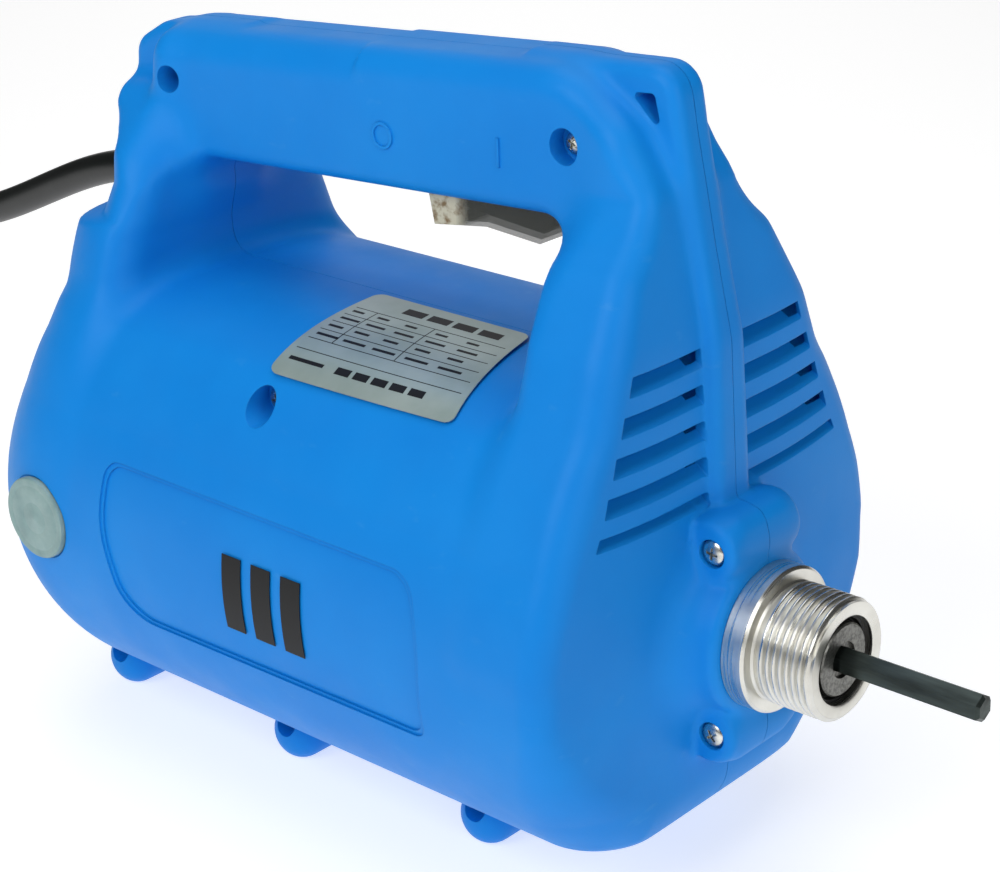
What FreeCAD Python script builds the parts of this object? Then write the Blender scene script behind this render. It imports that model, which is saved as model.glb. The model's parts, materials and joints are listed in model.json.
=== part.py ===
"""Electric drive unit for a concrete vibrator.

The unit is a universal motor held between two moulded half shells with a carrying handle on top.
The armature drives a hexagonal shaft through a socket in the threaded coupling nose.

Frame: millimetres, +X forward along the drive axis and out of the nose, +Z up, +Y to the unit's
right.  The origin is on the drive axis at the front shoulder of the nose flange, where the
coupling thread starts.  The half shells meet on the plane y = 0.

Every driving size is a cell of the sheet "dim"; sketches and features read it by expression.
"""
import FreeCAD, Part
import math
import os
import Sketcher
from FreeCAD import Placement, Rotation, Vector

DOC = FreeCAD.newDocument("vibrator_drive_unit")
LEFT = -1
RIGHT = 1

SIZES = {
    # casing barrel: a round prism along X with a flattened top and bottom
    "wall": 3.0,
    "barrel_radius": 87.5,
    "barrel_front": 24.0,
    "barrel_rear": 311.0,
    "barrel_top": 80.0,
    "barrel_bottom": 76.0,
    "front_round": 15.0,
    "rear_round": 38.0,
    # handle and its posts
    "handle_half": 19.5,
    "handle_top_rear": 165.0,
    "handle_top_front": 176.5,
    "grip_bottom_rear": 119.0,
    "grip_bottom_front": 131.5,
    "post_rear_face": 243.0,
    "post_front_face": 70.0,
    "post_foot": 45.0,
    "web_half": 8.0,
    # nose boss of the shells
    "boss_front": 8.35,
    "boss_radius": 27.0,
    "boss_block_half": 17.0,
    "boss_block_height": 40.0,
    # coupling nose and its bore
    "thread_radius": 20.0,
    "thread_chamfer": 1.0,
    "thread_length": 22.4,
    "flange_radius": 24.1,
    "neck_radius": 21.0,
    "neck_length": 8.0,
    "drum_radius": 27.5,
    "drum_rear": 34.0,
    "nose_bore": 14.6,
    "fit_gap": 0.05,
    # drive line
    "hex_across": 8.0,
    "hex_tip": 71.1,
    "hex_chamfer": 1.0,
    "socket_radius": 12.0,
    "socket_front": 21.2,
    "socket_rear": 10.0,
    "socket_recess_radius": 6.0,
    "socket_recess": 1.2,
    "hex_seat": 2.0,
    "journal_radius": 8.5,
    # front bearing, 17 x 40 x 12
    "front_bearing_front": 18.0,
    "front_bearing_width": 12.0,
    "front_bearing_radius": 20.0,
    "front_race_inner": 11.6,
    "front_race_outer": 16.9,
    "front_ball_radius": 3.37,
    "front_ball_pitch": 14.25,
    "circlip_width": 1.5,
    "circlip_groove": 1.4,
    # rear bearing, 12 x 32 x 10
    "rear_bearing_front": 285.0,
    "rear_bearing_width": 10.0,
    "rear_bearing_radius": 16.0,
    "rear_bearing_bore": 6.0,
    "rear_race_inner": 8.2,
    "rear_race_outer": 13.8,
    "rear_ball_radius": 2.97,
    "rear_ball_pitch": 11.0,
    "sleeve_radius": 19.0,
    "cup_radius": 23.0,
    # motor
    "core_front": 138.0,
    "core_rear": 228.0,
    "core_radius": 30.0,
    "air_gap": 0.7,
    "stack_radius": 50.0,
    "shaft_radius": 9.0,
    "winding_radius": 27.0,
    "winding_length": 20.0,
    "commutator_centre": 264.0,
    "commutator_length": 28.0,
    "commutator_radius": 20.0,
    "coil_length": 15.0,
    "fan_front": 72.0,
    "fan_rear": 96.0,
    "fan_radius": 62.0,
    "fan_hub": 20.0,
    "baffle_front": 99.0,
    "baffle_width": 3.0,
    "baffle_eye": 44.0,
    "rib_width": 4.0,
    "rib_front": 151.0,
    "rib_rear": 212.0,
    # brushes
    "brush_axial": 16.0,
    "brush_thick": 8.0,
    "brush_outer": 50.0,
    "holder_wall": 2.0,
    "holder_inner_end": 23.0,
    "holder_outer_end": 76.0,
    "cap_radius": 15.2,
    "cap_plug": 10.0,
    "cap_face": 89.0,
    "cap_seat": 86.0,
    # screws
    "screw_radius": 2.0,
    "screw_head": 4.0,
    "screw_head_height": 2.8,
    "screw_bite": 16.0,
    "counterbore": 6.0,
    "pillar_radius": 8.0,
    "foot_radius": 10.5,
    "foot_half": 40.0,
    "foot_axis": 82.0,
    "foot_first": 282.6,
    "foot_pitch": 92.4,
    "nose_screw_x": 16.0,
    "nose_screw_z": 32.0,
    # ventilation
    "vent_count": 5,
    "vent_top": 94.0,
    "vent_pitch": 11.2,
    "vent_height": 6.0,
    "vent_slit": 4.0,
    "vent_inner": 10.0,
    # side panel, label and badge
    "panel_front": 80.0,
    "panel_rear": 224.0,
    "panel_depth": 1.0,
    "label_front": 99.0,
    "label_rear": 168.5,
    "label_thick": 0.4,
    # switch
    "rocker_half": 8.4,
    "pivot_x": 109.0,
    "pivot_z": 131.0,
    "pivot_radius": 1.5,
    "ear_inner": 8.7,
    "ear_outer": 10.7,
    "boot_half": 12.2,
    "boot_wall": 1.2,
    "switch_bottom": 139.0,
    "switch_top": 162.0,
    "switch_front": 84.0,
    "switch_rear": 134.0,
    # cable
    "cable_radius": 6.0,
    "cable_height": 104.0,
    "cable_inner_end": 262.0,
    "cable_bend": 290.0,
    "cable_slope_x": 345.0,
    "cable_slope_z": 88.3,
    "cable_tip_x": 398.0,
    "cable_tip_z": 67.0,
    "lead_radius": 1.5,
}


def build_sheet():
    """Puts every driving size in the sheet, one aliased cell each."""
    sheet = DOC.addObject("Spreadsheet::Sheet", "dim")
    for row, (name, value) in enumerate(SIZES.items(), start=1):
        sheet.set(f"A{row}", name)
        sheet.set(f"B{row}", str(value))
        sheet.setAlias(f"B{row}", name)
    DOC.recompute()


def size(name):
    """The present value of one cell."""
    return float(DOC.getObject("dim").get(name))


# ---------------------------------------------------------------- drawing helpers

def new_body(label):
    body = DOC.addObject("PartDesign::Body", label)
    body.Label = label
    return body


def new_sketch(body, role, offset="0"):
    """A sketch flat on one of the body's own origin planes, moved along its normal by offset."""
    sketch = body.newObject("Sketcher::SketchObject", body.Label + "_sketch")
    plane = [item for item in body.Origin.OriginFeatures if item.Role == role][0]
    sketch.AttachmentSupport = [(plane, "")]
    sketch.MapMode = "FlatFace"
    sketch.setExpression("AttachmentOffset.Base.z", offset)
    return sketch


def place_point(sketch, geometry, which, start, across, up):
    """Ties one sketch point to a pair of expressions, measured from the sketch origin."""
    for kind, value, expression in (("DistanceX", start.x, across), ("DistanceY", start.y, up)):
        row = sketch.addConstraint(Sketcher.Constraint(kind, -1, 1, geometry, which, value))
        sketch.setExpression(f"Constraints[{row}]", expression)


def add_outline(sketch, corners):
    """A closed outline of straight edges whose corners are pairs of expressions."""
    first = sketch.GeometryCount
    count = len(corners)
    starts = [Vector(math.cos(2 * math.pi * i / count), math.sin(2 * math.pi * i / count), 0)
              for i in range(count)]
    for i in range(count):
        sketch.addGeometry(Part.LineSegment(starts[i], starts[(i + 1) % count]), False)
    for i in range(count):
        following = first + (i + 1) % count
        sketch.addConstraint(Sketcher.Constraint("Coincident", first + i, 2, following, 1))
    for i, (across, up) in enumerate(corners):
        place_point(sketch, first + i, 1, starts[i], across, up)


def add_rectangle(sketch, low_across, high_across, low_up, high_up):
    add_outline(sketch, [(low_across, low_up), (high_across, low_up),
                         (high_across, high_up), (low_across, high_up)])


def add_circle(sketch, across, up, radius):
    index = sketch.addGeometry(Part.Circle(Vector(1, 1, 0), Vector(0, 0, 1), 1.0), False)
    row = sketch.addConstraint(Sketcher.Constraint("Radius", index, 1.0))
    sketch.setExpression(f"Constraints[{row}]", radius)
    place_point(sketch, index, 3, Vector(1, 1, 0), across, up)


def extrude(kind, body, sketch, length, reverse, symmetric=False):
    """A Pad or a Pocket of the given length, which may be an expression."""
    feature = body.newObject("PartDesign::" + kind, body.Label + "_" + kind.lower())
    feature.Profile = sketch
    feature.Reversed = reverse
    if symmetric:
        feature.SideType = "Symmetric"
    feature.setExpression("Length", length)
    sketch.Visibility = False
    DOC.recompute()
    return feature


def checked_pocket(body, sketch, length, reverse, symmetric=False):
    """A Pocket that must remove material."""
    before = body.Shape.Volume
    feature = extrude("Pocket", body, sketch, length, reverse, symmetric)
    if not body.Shape.Volume < before:
        raise RuntimeError(feature.Name + " cuts nothing from " + body.Label)
    return feature


def turn(kind, body, sketch, angle, reverse, symmetric=False):
    """A Revolution or a Groove about the drive axis, which is each sketch's horizontal axis."""
    feature = body.newObject("PartDesign::" + kind, body.Label + "_" + kind.lower())
    feature.Profile = sketch
    feature.ReferenceAxis = (sketch, ["H_Axis"])
    feature.Angle = angle
    feature.Reversed = reverse
    feature.Midplane = symmetric
    sketch.Visibility = False
    DOC.recompute()
    return feature


def round_edges(body, radius, wanted):
    """A Fillet on every edge for which wanted(edge) is true."""
    tip = body.Tip
    names = [f"Edge{i}" for i, edge in enumerate(tip.Shape.Edges, start=1) if wanted(edge)]
    if not names:
        raise RuntimeError("no edge to round on " + body.Label)
    fillet = body.newObject("PartDesign::Fillet", body.Label + "_fillet")
    fillet.Base = (tip, names)
    fillet.setExpression("Radius", radius)
    DOC.recompute()
    return fillet


def turned(label, *profiles):
    """A body turned about the drive axis from closed outlines of (x, radius) expressions."""
    body = new_body(label)
    for corners in profiles:
        sketch = new_sketch(body, "XZ_Plane")
        add_outline(sketch, corners)
        turn("Revolution", body, sketch, 360, False)
    return body


def ring(label, front, rear, inner, outer):
    """A plain turned ring between two x stations and two radii."""
    return turned(label, [(rear, inner), (front, inner), (front, outer), (rear, outer)])


def group(label, members):
    """One node made of several separate solids."""
    compound = DOC.addObject("Part::Compound", label)
    compound.Label = label
    compound.Links = members
    return compound


def boolean(kind, label, base, tool):
    feature = DOC.addObject("Part::" + kind, label)
    feature.Label = label
    feature.Base = base
    feature.Tool = tool
    return feature


def primitive(kind, label, place, **sizes):
    """A Part primitive whose sizes and place are bound to expressions."""
    item = DOC.addObject("Part::" + kind, label)
    item.Label = label
    for name, expression in sizes.items():
        item.setExpression(name, expression)
    for axis, expression in zip("xyz", place):
        item.setExpression(f"Placement.Base.{axis}", expression)
    return item


def along_y(item, sign=1):
    """Turns a primitive so that its own axis points along +Y or -Y."""
    item.Placement = Placement(item.Placement.Base, Rotation(Vector(1, 0, 0), -90 * sign))
    return item


# ---------------------------------------------------------------- half shells

def barrel_form(body, side, inset):
    """Half of the round barrel with its flats and rounded ends, drawn in by inset."""
    sketch = new_sketch(body, "XZ_Plane")
    front = f"-dim.barrel_front - {inset}"
    rear = f"-dim.barrel_rear + {inset}"
    add_rectangle(sketch, rear, front, "0", f"dim.barrel_radius - {inset}")
    turn("Revolution", body, sketch, 180, side == RIGHT)
    for radius, end in ((f"dim.front_round - {inset}", -size("barrel_front")),
                        (f"dim.rear_round - {inset}", -size("barrel_rear"))):
        def on_end(edge, end=end):
            box = edge.BoundBox
            flat = box.XLength < 0.01 and abs(box.Center.x - end) < size("wall") + 0.01
            return flat and box.YLength > size("barrel_radius") / 2
        round_edges(body, radius, on_end)
    sketch = new_sketch(body, "XZ_Plane")
    beyond = "dim.barrel_radius + 1"
    add_rectangle(sketch, "-dim.barrel_rear - 1", "0", f"dim.barrel_top - {inset}", beyond)
    add_rectangle(sketch, "-dim.barrel_rear - 1", "0", f"-({beyond})", f"-dim.barrel_bottom + {inset}")
    checked_pocket(body, sketch, "2 * dim.barrel_radius", False, symmetric=True)


def posts_form(body, side, inset):
    """Half of the handle and its two posts, which flare out to meet the barrel."""
    sketch = new_sketch(body, "XZ_Plane")
    front = f"- {inset}"
    rear = f"+ {inset}"
    add_outline(sketch, [
        (f"-300 {rear}", "dim.post_foot"), (f"-297 {rear}", f"94 - {inset}"),
        (f"-287 {rear}", f"101 - {inset}"), (f"-280 {rear}", "124"),
        (f"-280 {rear}", f"133 - {inset}"), (f"-265 {rear}", f"145 - {inset}"),
        (f"-262 {rear}", f"155 - {inset}"), (f"-252 {rear}", f"162.5 - {inset}"),
        ("-240", f"dim.handle_top_rear - {inset}"), (f"-74 {front}", f"dim.handle_top_front - {inset}"),
        (f"-62 {front}", f"171 - {inset}"), (f"-52 {front}", f"162 - {inset}"),
        (f"-41 {front}", f"149 - {inset}"), (f"-33 {front}", "128"),
        (f"-29 {front}", "96"), (f"-dim.barrel_front {front}", "dim.post_foot"),
        (f"-dim.post_front_face + {inset}", "dim.post_foot"),
        (f"-dim.post_front_face + {inset}", f"dim.grip_bottom_front + {inset}"),
        (f"-dim.post_rear_face + 8 - {inset}", f"dim.grip_bottom_rear + {inset}"),
        (f"-dim.post_rear_face - {inset}", f"dim.grip_bottom_rear - 8 + {inset}"),
        (f"-dim.post_rear_face - {inset}", "dim.post_foot")])
    extrude("Pad", body, sketch, f"70 - {inset}", side == RIGHT)
    sketch = new_sketch(body, "YZ_Plane")
    s = str(side)
    add_outline(sketch, [
        (f"{s} * (70 - {inset})", "52.5"), (f"{s} * (55 - {inset})", "80"),
        (f"{s} * (45 - {inset})", "100"), (f"{s} * (36 - {inset})", "114"),
        (f"{s} * (29 - {inset})", "124"), (f"{s} * (22 - {inset})", "131"),
        (f"{s} * (dim.handle_half - {inset})", "137"), (f"{s} * (dim.handle_half - {inset})", "200"),
        (f"{s} * 100", "200"), (f"{s} * 100", "52.5")])
    checked_pocket(body, sketch, "2 * 330", False, symmetric=True)


def web_form(body, side):
    """The narrow web behind and in front of the handle, and the rib down the front face."""
    sketch = new_sketch(body, "XZ_Plane")
    add_outline(sketch, [
        ("-285", "120"), ("-290", "136"), ("-288", "149"), ("-281", "157.5"), ("-266", "163.8"),
        ("-240", "163.8"), ("-240", "120")])
    add_outline(sketch, [
        ("-80", "135"), ("-80", "176"), ("-57", "178.5"), ("-46", "177.5"), ("-39", "173"),
        ("-35.4", "163.7"), ("-28.2", "124"), ("-22.2", "96"), ("-19.7", "44"),
        ("-19.7", "30"), ("-40", "30"), ("-40", "110")])
    extrude("Pad", body, sketch, "dim.web_half", side == RIGHT)


def nose_boss(body, side):
    """The round boss and screw block that grip the coupling nose."""
    sketch = new_sketch(body, "YZ_Plane", "-dim.boss_front")
    add_circle(sketch, "0", "0", "dim.boss_radius")
    extrude("Pad", body, sketch, "20", True)
    sketch = new_sketch(body, "YZ_Plane", "-dim.boss_front - 2")
    add_rectangle(sketch, f"{side} * dim.boss_block_half", "0", "-dim.boss_block_height",
                  "dim.boss_block_height")
    extrude("Pad", body, sketch, "20", True)
    sketch = new_sketch(body, "YZ_Plane")
    add_rectangle(sketch, "0", f"{-side} * 60", "-60", "60")
    checked_pocket(body, sketch, "40", False)


def feet(body, side):
    """Three screw bosses under the belly that also serve as feet."""
    sketch = new_sketch(body, "XZ_Plane")
    for i in range(3):
        add_circle(sketch, f"-dim.foot_first + {i} * dim.foot_pitch", "-dim.foot_axis", "dim.foot_radius")
    extrude("Pad", body, sketch, "dim.foot_half", side == RIGHT)


def screw_places():
    """Every casing screw as (x, z, seat distance from the split plane), as expressions."""
    places = [("-250.8", "147.5", "12"), ("-70.9", "152.5", "12"), ("-163.8", "60.3", "54")]
    for i in range(3):
        places.append((f"-dim.foot_first + {i} * dim.foot_pitch", "-dim.foot_axis", "28"))
    for sign in ("", "-"):
        places.append(("-dim.nose_screw_x", sign + "dim.nose_screw_z", "12"))
    return places


def cut_screw_holes(body, side):
    """Clearance holes and counterbores on the left shell, pilot holes on the right one."""
    sketch = new_sketch(body, "XZ_Plane")
    for x, z, seat in screw_places():
        add_circle(sketch, x, z, "dim.screw_radius + 0.1" if side == LEFT else "dim.screw_radius - 0.2")
    checked_pocket(body, sketch, "90" if side == LEFT else "dim.screw_bite + 1", side == LEFT)
    if side == RIGHT:
        return
    for x, z, seat in screw_places():
        sketch = new_sketch(body, "XZ_Plane", seat)
        add_circle(sketch, x, z, "dim.counterbore")
        checked_pocket(body, sketch, "60", True)


def cut_vents(body, side):
    """Louvred outlets beside the rib on the front face and matching inlets on the rear face."""
    for plane, reverse in (("-dim.barrel_front + 6", False), ("-dim.barrel_rear - 2", True)):
        sketch = new_sketch(body, "YZ_Plane", plane)
        for i in range(int(size("vent_count"))):
            last = i == int(size("vent_count")) - 1
            height = "dim.vent_slit" if last else "dim.vent_height"
            top = f"dim.vent_top - {i} * dim.vent_pitch"
            if reverse:
                top = f"20 - {i} * dim.vent_pitch"
            reach = 35 if reverse else 41.5 + 4.5 * i
            add_outline(sketch, [
                (f"{side} * dim.vent_inner", f"{top} - {height}"), (f"{side} * dim.vent_inner", top),
                (f"{side} * {reach}", top), (f"{side} * {reach + 2}", f"{top} - {height}")])
        checked_pocket(body, sketch, "18", reverse)


def cut_side_panel(body, side):
    """A shallow recess that follows the barrel's side."""
    sketch = new_sketch(body, "XY_Plane")
    low, high = "dim.barrel_radius - dim.panel_depth", "dim.barrel_radius + 2"
    add_rectangle(sketch, "-dim.panel_rear", "-dim.panel_front", f"{side} * ({low})", f"{side} * ({high})")
    before = body.Shape.Volume
    turn("Groove", body, sketch, 38, False, symmetric=True)
    if not body.Shape.Volume < before:
        raise RuntimeError("the side panel cuts nothing")


def cut_openings(body, side):
    """Nose bore, switch slot, cable hole, brush cap seat and lanyard hole."""
    sketch = new_sketch(body, "YZ_Plane")
    add_circle(sketch, "0", "0", "dim.neck_radius + 0.1")
    checked_pocket(body, sketch, "dim.boss_front + dim.neck_length + 1", False)
    sketch = new_sketch(body, "YZ_Plane", "-dim.boss_front - dim.neck_length")
    add_circle(sketch, "0", "0", "dim.drum_radius + 0.1")
    checked_pocket(body, sketch, "18.1", False)
    sketch = new_sketch(body, "XY_Plane", "138")
    add_rectangle(sketch, "-136.2", "-75.6", f"{-side}", f"{side} * (dim.boot_half + 0.3)")
    checked_pocket(body, sketch, "28", False)
    sketch = new_sketch(body, "YZ_Plane", "-300")
    add_circle(sketch, "0", "dim.cable_height", "8.05")
    checked_pocket(body, sketch, "26", True)
    for start, radius in (("dim.cap_seat", "dim.cap_radius + 0.4"), ("74", "dim.cap_plug + 0.3")):
        sketch = new_sketch(body, "XZ_Plane", f"{-side} * {start}")
        add_circle(sketch, "-dim.commutator_centre", "0", radius)
        checked_pocket(body, sketch, "15", side == LEFT)
    sketch = new_sketch(body, "XZ_Plane")
    add_outline(sketch, [("-53", "168.5"), ("-45.5", "169.5"), ("-43", "160")])
    checked_pocket(body, sketch, "40", False, symmetric=True)


def leave(cavity, sketch, length, reverse):
    """Keeps plastic inside the cavity where a rib, pillar or seat stands."""
    checked_pocket(cavity, sketch, length, reverse)


def inner_ribs(cavity, side):
    """Ribs and seats that hold the motor, bearings, brush holders and screws."""
    far = "200"
    for x in ("-dim.rib_front", "-dim.rib_rear"):
        sketch = new_sketch(cavity, "YZ_Plane", x)
        add_rectangle(sketch, f"-{far}", far, f"-{far}", "72")
        add_circle(sketch, "0", "0", "dim.stack_radius + dim.fit_gap")
        leave(cavity, sketch, "dim.rib_width", False)
    sketch = new_sketch(cavity, "YZ_Plane", "-dim.barrel_front")
    add_circle(sketch, "0", "0", "dim.drum_radius + 4")
    leave(cavity, sketch, "10.3", False)
    sketch = new_sketch(cavity, "YZ_Plane", "-dim.rear_bearing_front + 1")
    add_circle(sketch, "0", "0", "dim.cup_radius")
    add_circle(sketch, "0", "0", "dim.sleeve_radius")
    leave(cavity, sketch, "40", False)
    for x, z, seat in screw_places()[:3]:
        sketch = new_sketch(cavity, "XZ_Plane")
        add_circle(sketch, x, z, "dim.pillar_radius")
        leave(cavity, sketch, "90", side == LEFT)
    sketch = new_sketch(cavity, "XZ_Plane", f"{-side} * 58")
    half_x = "dim.brush_axial / 2 + dim.holder_wall + dim.fit_gap"
    half_z = "dim.brush_thick / 2 + dim.holder_wall + dim.fit_gap"
    centre = "-dim.commutator_centre"
    add_rectangle(sketch, f"{centre} - 15", f"{centre} + 15", "-14", "14")
    add_rectangle(sketch, f"{centre} - ({half_x})", f"{centre} + {half_x}", f"-({half_z})", half_z)
    leave(cavity, sketch, "40", side == LEFT)


def half_shell(side):
    """One moulded half of the casing."""
    name = "left_shell" if side == LEFT else "right_shell"
    outer = new_body(name + "_outer")
    barrel_form(outer, side, "0")
    posts_form(outer, side, "0")
    web_form(outer, side)
    nose_boss(outer, side)
    feet(outer, side)
    cut_side_panel(outer, side)
    cut_vents(outer, side)
    cut_openings(outer, side)
    cut_screw_holes(outer, side)
    cavity = new_body(name + "_cavity")
    barrel_form(cavity, side, "dim.wall")
    posts_form(cavity, side, "dim.wall")
    inner_ribs(cavity, side)
    return boolean("Cut", name, outer, cavity)


# ---------------------------------------------------------------- nose and drive line

def coupling_nose():
    """Aluminium nose: flange, spigot at the thread's major diameter, and the bearing drum."""
    outline = [("-dim.drum_rear", "dim.front_bearing_radius"), ("-dim.drum_rear", "dim.drum_radius"),
               ("-dim.boss_front - dim.neck_length", "dim.drum_radius"),
               ("-dim.boss_front - dim.neck_length", "dim.neck_radius"),
               ("-dim.boss_front", "dim.neck_radius"), ("-dim.boss_front", "dim.flange_radius"),
               ("-0.6", "dim.flange_radius"), ("0", "dim.flange_radius - 0.6"),
               ("0", "dim.thread_radius")]
    outline += [("dim.thread_length - dim.thread_chamfer", "dim.thread_radius"),
                ("dim.thread_length", "dim.thread_radius - dim.thread_chamfer"),
                ("dim.thread_length", "dim.nose_bore"),
                ("-dim.front_bearing_front + 2", "dim.nose_bore"),
                ("-dim.front_bearing_front + 2", "dim.front_bearing_radius - 3"),
                ("-dim.front_bearing_front", "dim.front_bearing_radius - 3"),
                ("-dim.front_bearing_front", "dim.front_bearing_radius"),
                ("-dim.front_bearing_front - dim.front_bearing_width", "dim.front_bearing_radius")]
    groove = "-dim.front_bearing_front - dim.front_bearing_width"
    outline += [(f"{groove} - 0.01", "dim.front_bearing_radius + dim.circlip_groove"),
                (f"{groove} - dim.circlip_width - 0.1", "dim.front_bearing_radius + dim.circlip_groove"),
                (f"{groove} - dim.circlip_width - 0.11", "dim.front_bearing_radius")]
    return turned("coupling_nose", outline)


def nose_seal():
    """Rubber lip seal between the nose bore and the turning socket."""
    lip = "dim.socket_radius + dim.fit_gap"
    return turned("nose_seal", [
        ("11", "dim.nose_bore"), ("19.4", "dim.nose_bore"), ("19.4", "dim.nose_bore - 1.2"),
        ("17.5", "dim.nose_bore - 1.4"), ("17.5", "dim.socket_radius + 0.9"), ("18.4", lip),
        ("16.8", lip), ("14.5", "dim.socket_radius + 0.8"), ("11", "dim.socket_radius + 0.8")])


def bearing(prefix, front, width, bore, outer, race_inner, race_outer, ball, pitch, count):
    """A deep groove ball bearing: two grooved rings, the cage and the ball set."""
    rear = f"{front} - {width}"
    middle = f"{front} - {width} / 2"
    groove = f"({ball} + 0.04)"
    half = f"{groove} * 0.55"
    steps = (-1, -0.5, 0, 0.5, 1)

    def groove_points(sign):
        points = []
        for step in steps:
            across = f"{middle} + ({step}) * {half}"
            points.append((across, f"{pitch} {sign} sqrt({groove} ^ 2 - (({step}) * {half}) ^ 2)"))
        return points

    inner_points = [(rear, bore), (front, bore), (front, race_inner)]
    inner_points += list(reversed(groove_points("-")))
    inner_points += [(rear, race_inner)]
    outer_points = [(front, outer), (rear, outer), (rear, race_outer)]
    outer_points += groove_points("+")
    outer_points += [(front, race_outer)]
    inner_ring = turned(prefix + "_bearing_inner", inner_points)
    outer_ring = turned(prefix + "_bearing_outer", outer_points)
    balls = []
    for i in range(count):
        angle = 2 * math.pi * i / count
        item = primitive("Sphere", f"{prefix}_ball_{i}",
                         (middle, f"{pitch} * {math.cos(angle):.6f}", f"{pitch} * {math.sin(angle):.6f}"),
                         Radius=ball)
        balls.append(item)
    ball_set = group(prefix + "_bearing_balls", balls)
    cage = ring(prefix + "_cage_blank", f"{middle} + {ball} + 1", f"{middle} - {ball} - 1",
                f"{pitch} - 1.2", f"{pitch} + 1.2")
    pockets = []
    for i, item in enumerate(balls):
        pocket = DOC.addObject("Part::Sphere", f"{prefix}_pocket_{i}")
        pocket.setExpression("Radius", f"{ball} + 0.06")
        for axis in "xyz":
            pocket.setExpression(f"Placement.Base.{axis}", f"{item.Name}.Placement.Base.{axis}")
        pockets.append(pocket)
    hollow = group(prefix + "_cage_pockets", pockets)
    cage_part = boolean("Cut", prefix + "_bearing_cage", cage, hollow)
    return [inner_ring, outer_ring, ball_set, cage_part]


def hexagon(sketch, across):
    """A regular hexagon with two corners on the vertical axis."""
    half = f"({across}) / 2"
    corner = f"{half} / cos(30 deg)"
    low = f"{half} * tan(30 deg)"
    add_outline(sketch, [("0", corner), (half, low), (half, f"-{low}"),
                         ("0", f"-{corner}"), (f"-{half}", f"-{low}"), (f"-{half}", low)])


def hex_drive_shaft():
    """Hexagonal output shaft seated in the socket, with a chamfered tip."""
    body = new_body("hex_drive_shaft")
    sketch = new_sketch(body, "YZ_Plane", "dim.hex_seat")
    hexagon(sketch, "dim.hex_across")
    extrude("Pad", body, sketch, "dim.hex_tip - dim.hex_seat", False)
    tip = body.Tip
    end = size("hex_tip")
    names = [f"Edge{i}" for i, edge in enumerate(tip.Shape.Edges, start=1)
             if edge.BoundBox.XMin > end - 0.01]
    chamfer = body.newObject("PartDesign::Chamfer", "hex_tip_chamfer")
    chamfer.Base = (tip, names)
    chamfer.setExpression("Size", "dim.hex_chamfer")
    return body


def drive_socket():
    """Steel sleeve on the shaft end with a hexagonal socket in its front face."""
    body = turned("drive_socket", [
        ("-dim.socket_rear", "dim.journal_radius + dim.fit_gap"), ("-dim.socket_rear", "dim.socket_radius"),
        ("dim.socket_front - 0.5", "dim.socket_radius"), ("dim.socket_front", "dim.socket_radius - 0.5"),
        ("dim.socket_front", "dim.socket_recess_radius"),
        ("dim.socket_front - dim.socket_recess", "dim.socket_recess_radius"),
        ("dim.socket_front - dim.socket_recess", "0"), ("dim.hex_seat - 1", "0"),
        ("dim.hex_seat - 1", "dim.journal_radius + dim.fit_gap")])
    sketch = new_sketch(body, "YZ_Plane", "dim.socket_front + 1")
    hexagon(sketch, "dim.hex_across + 2 * dim.fit_gap")
    checked_pocket(body, sketch, "dim.socket_front + 1 - dim.hex_seat + dim.fit_gap", False)
    return body


def armature_shaft():
    """Stepped steel shaft from the rear bearing to the drive socket."""
    front = "dim.hex_seat - 1 - dim.fit_gap"
    return turned("armature_shaft", [
        ("-dim.rear_bearing_front - dim.rear_bearing_width - 1", "0"),
        ("-dim.rear_bearing_front - dim.rear_bearing_width - 1", "dim.rear_bearing_bore"),
        ("-dim.rear_bearing_front + 1", "dim.rear_bearing_bore"),
        ("-dim.rear_bearing_front + 1", "dim.shaft_radius"),
        ("-dim.front_bearing_front - dim.front_bearing_width - 1", "dim.shaft_radius"),
        ("-dim.front_bearing_front - dim.front_bearing_width - 1", "dim.journal_radius"),
        (front, "dim.journal_radius"), (front, "0")])


# ---------------------------------------------------------------- motor

def armature_core():
    """Laminated core with axial slots for the winding."""
    body = ring("armature_core", "-dim.core_front", "-dim.core_rear", "dim.shaft_radius", "dim.core_radius")
    sketch = new_sketch(body, "YZ_Plane", "-dim.core_front")
    add_rectangle(sketch, "-1.2", "1.2", "dim.core_radius - 12", "dim.core_radius + 1")
    slot = checked_pocket(body, sketch, "dim.core_rear - dim.core_front", False)
    pattern = body.newObject("PartDesign::PolarPattern", "core_slots")
    pattern.Originals = [slot]
    axis = [item for item in body.Origin.OriginFeatures if item.Role == "X_Axis"][0]
    pattern.Axis = (axis, [""])
    pattern.Angle = 360
    pattern.Occurrences = 12
    body.Tip = pattern
    return body


def armature_windings():
    """The two bundles of end turns that stand beyond the core."""
    bundles = []
    for end, sign in (("-dim.core_front", 1), ("-dim.core_rear", -1)):
        inner = f"{end} + {sign} * 0.1"
        outer = f"{end} + {sign} * dim.winding_length"
        shoulder = f"{end} + {sign} * dim.winding_length * 0.6"
        label = "winding_front" if sign == 1 else "winding_rear"
        if sign == -1:
            outer = f"{end} - (dim.winding_length - 2)"
        bundles.append(turned(label, [
            (inner, "dim.shaft_radius + 0.1"), (inner, "dim.winding_radius"),
            (shoulder, "dim.winding_radius"), (outer, "dim.winding_radius - 8"),
            (outer, "dim.shaft_radius + 0.1")]))
    return group("armature_windings", bundles)


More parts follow.
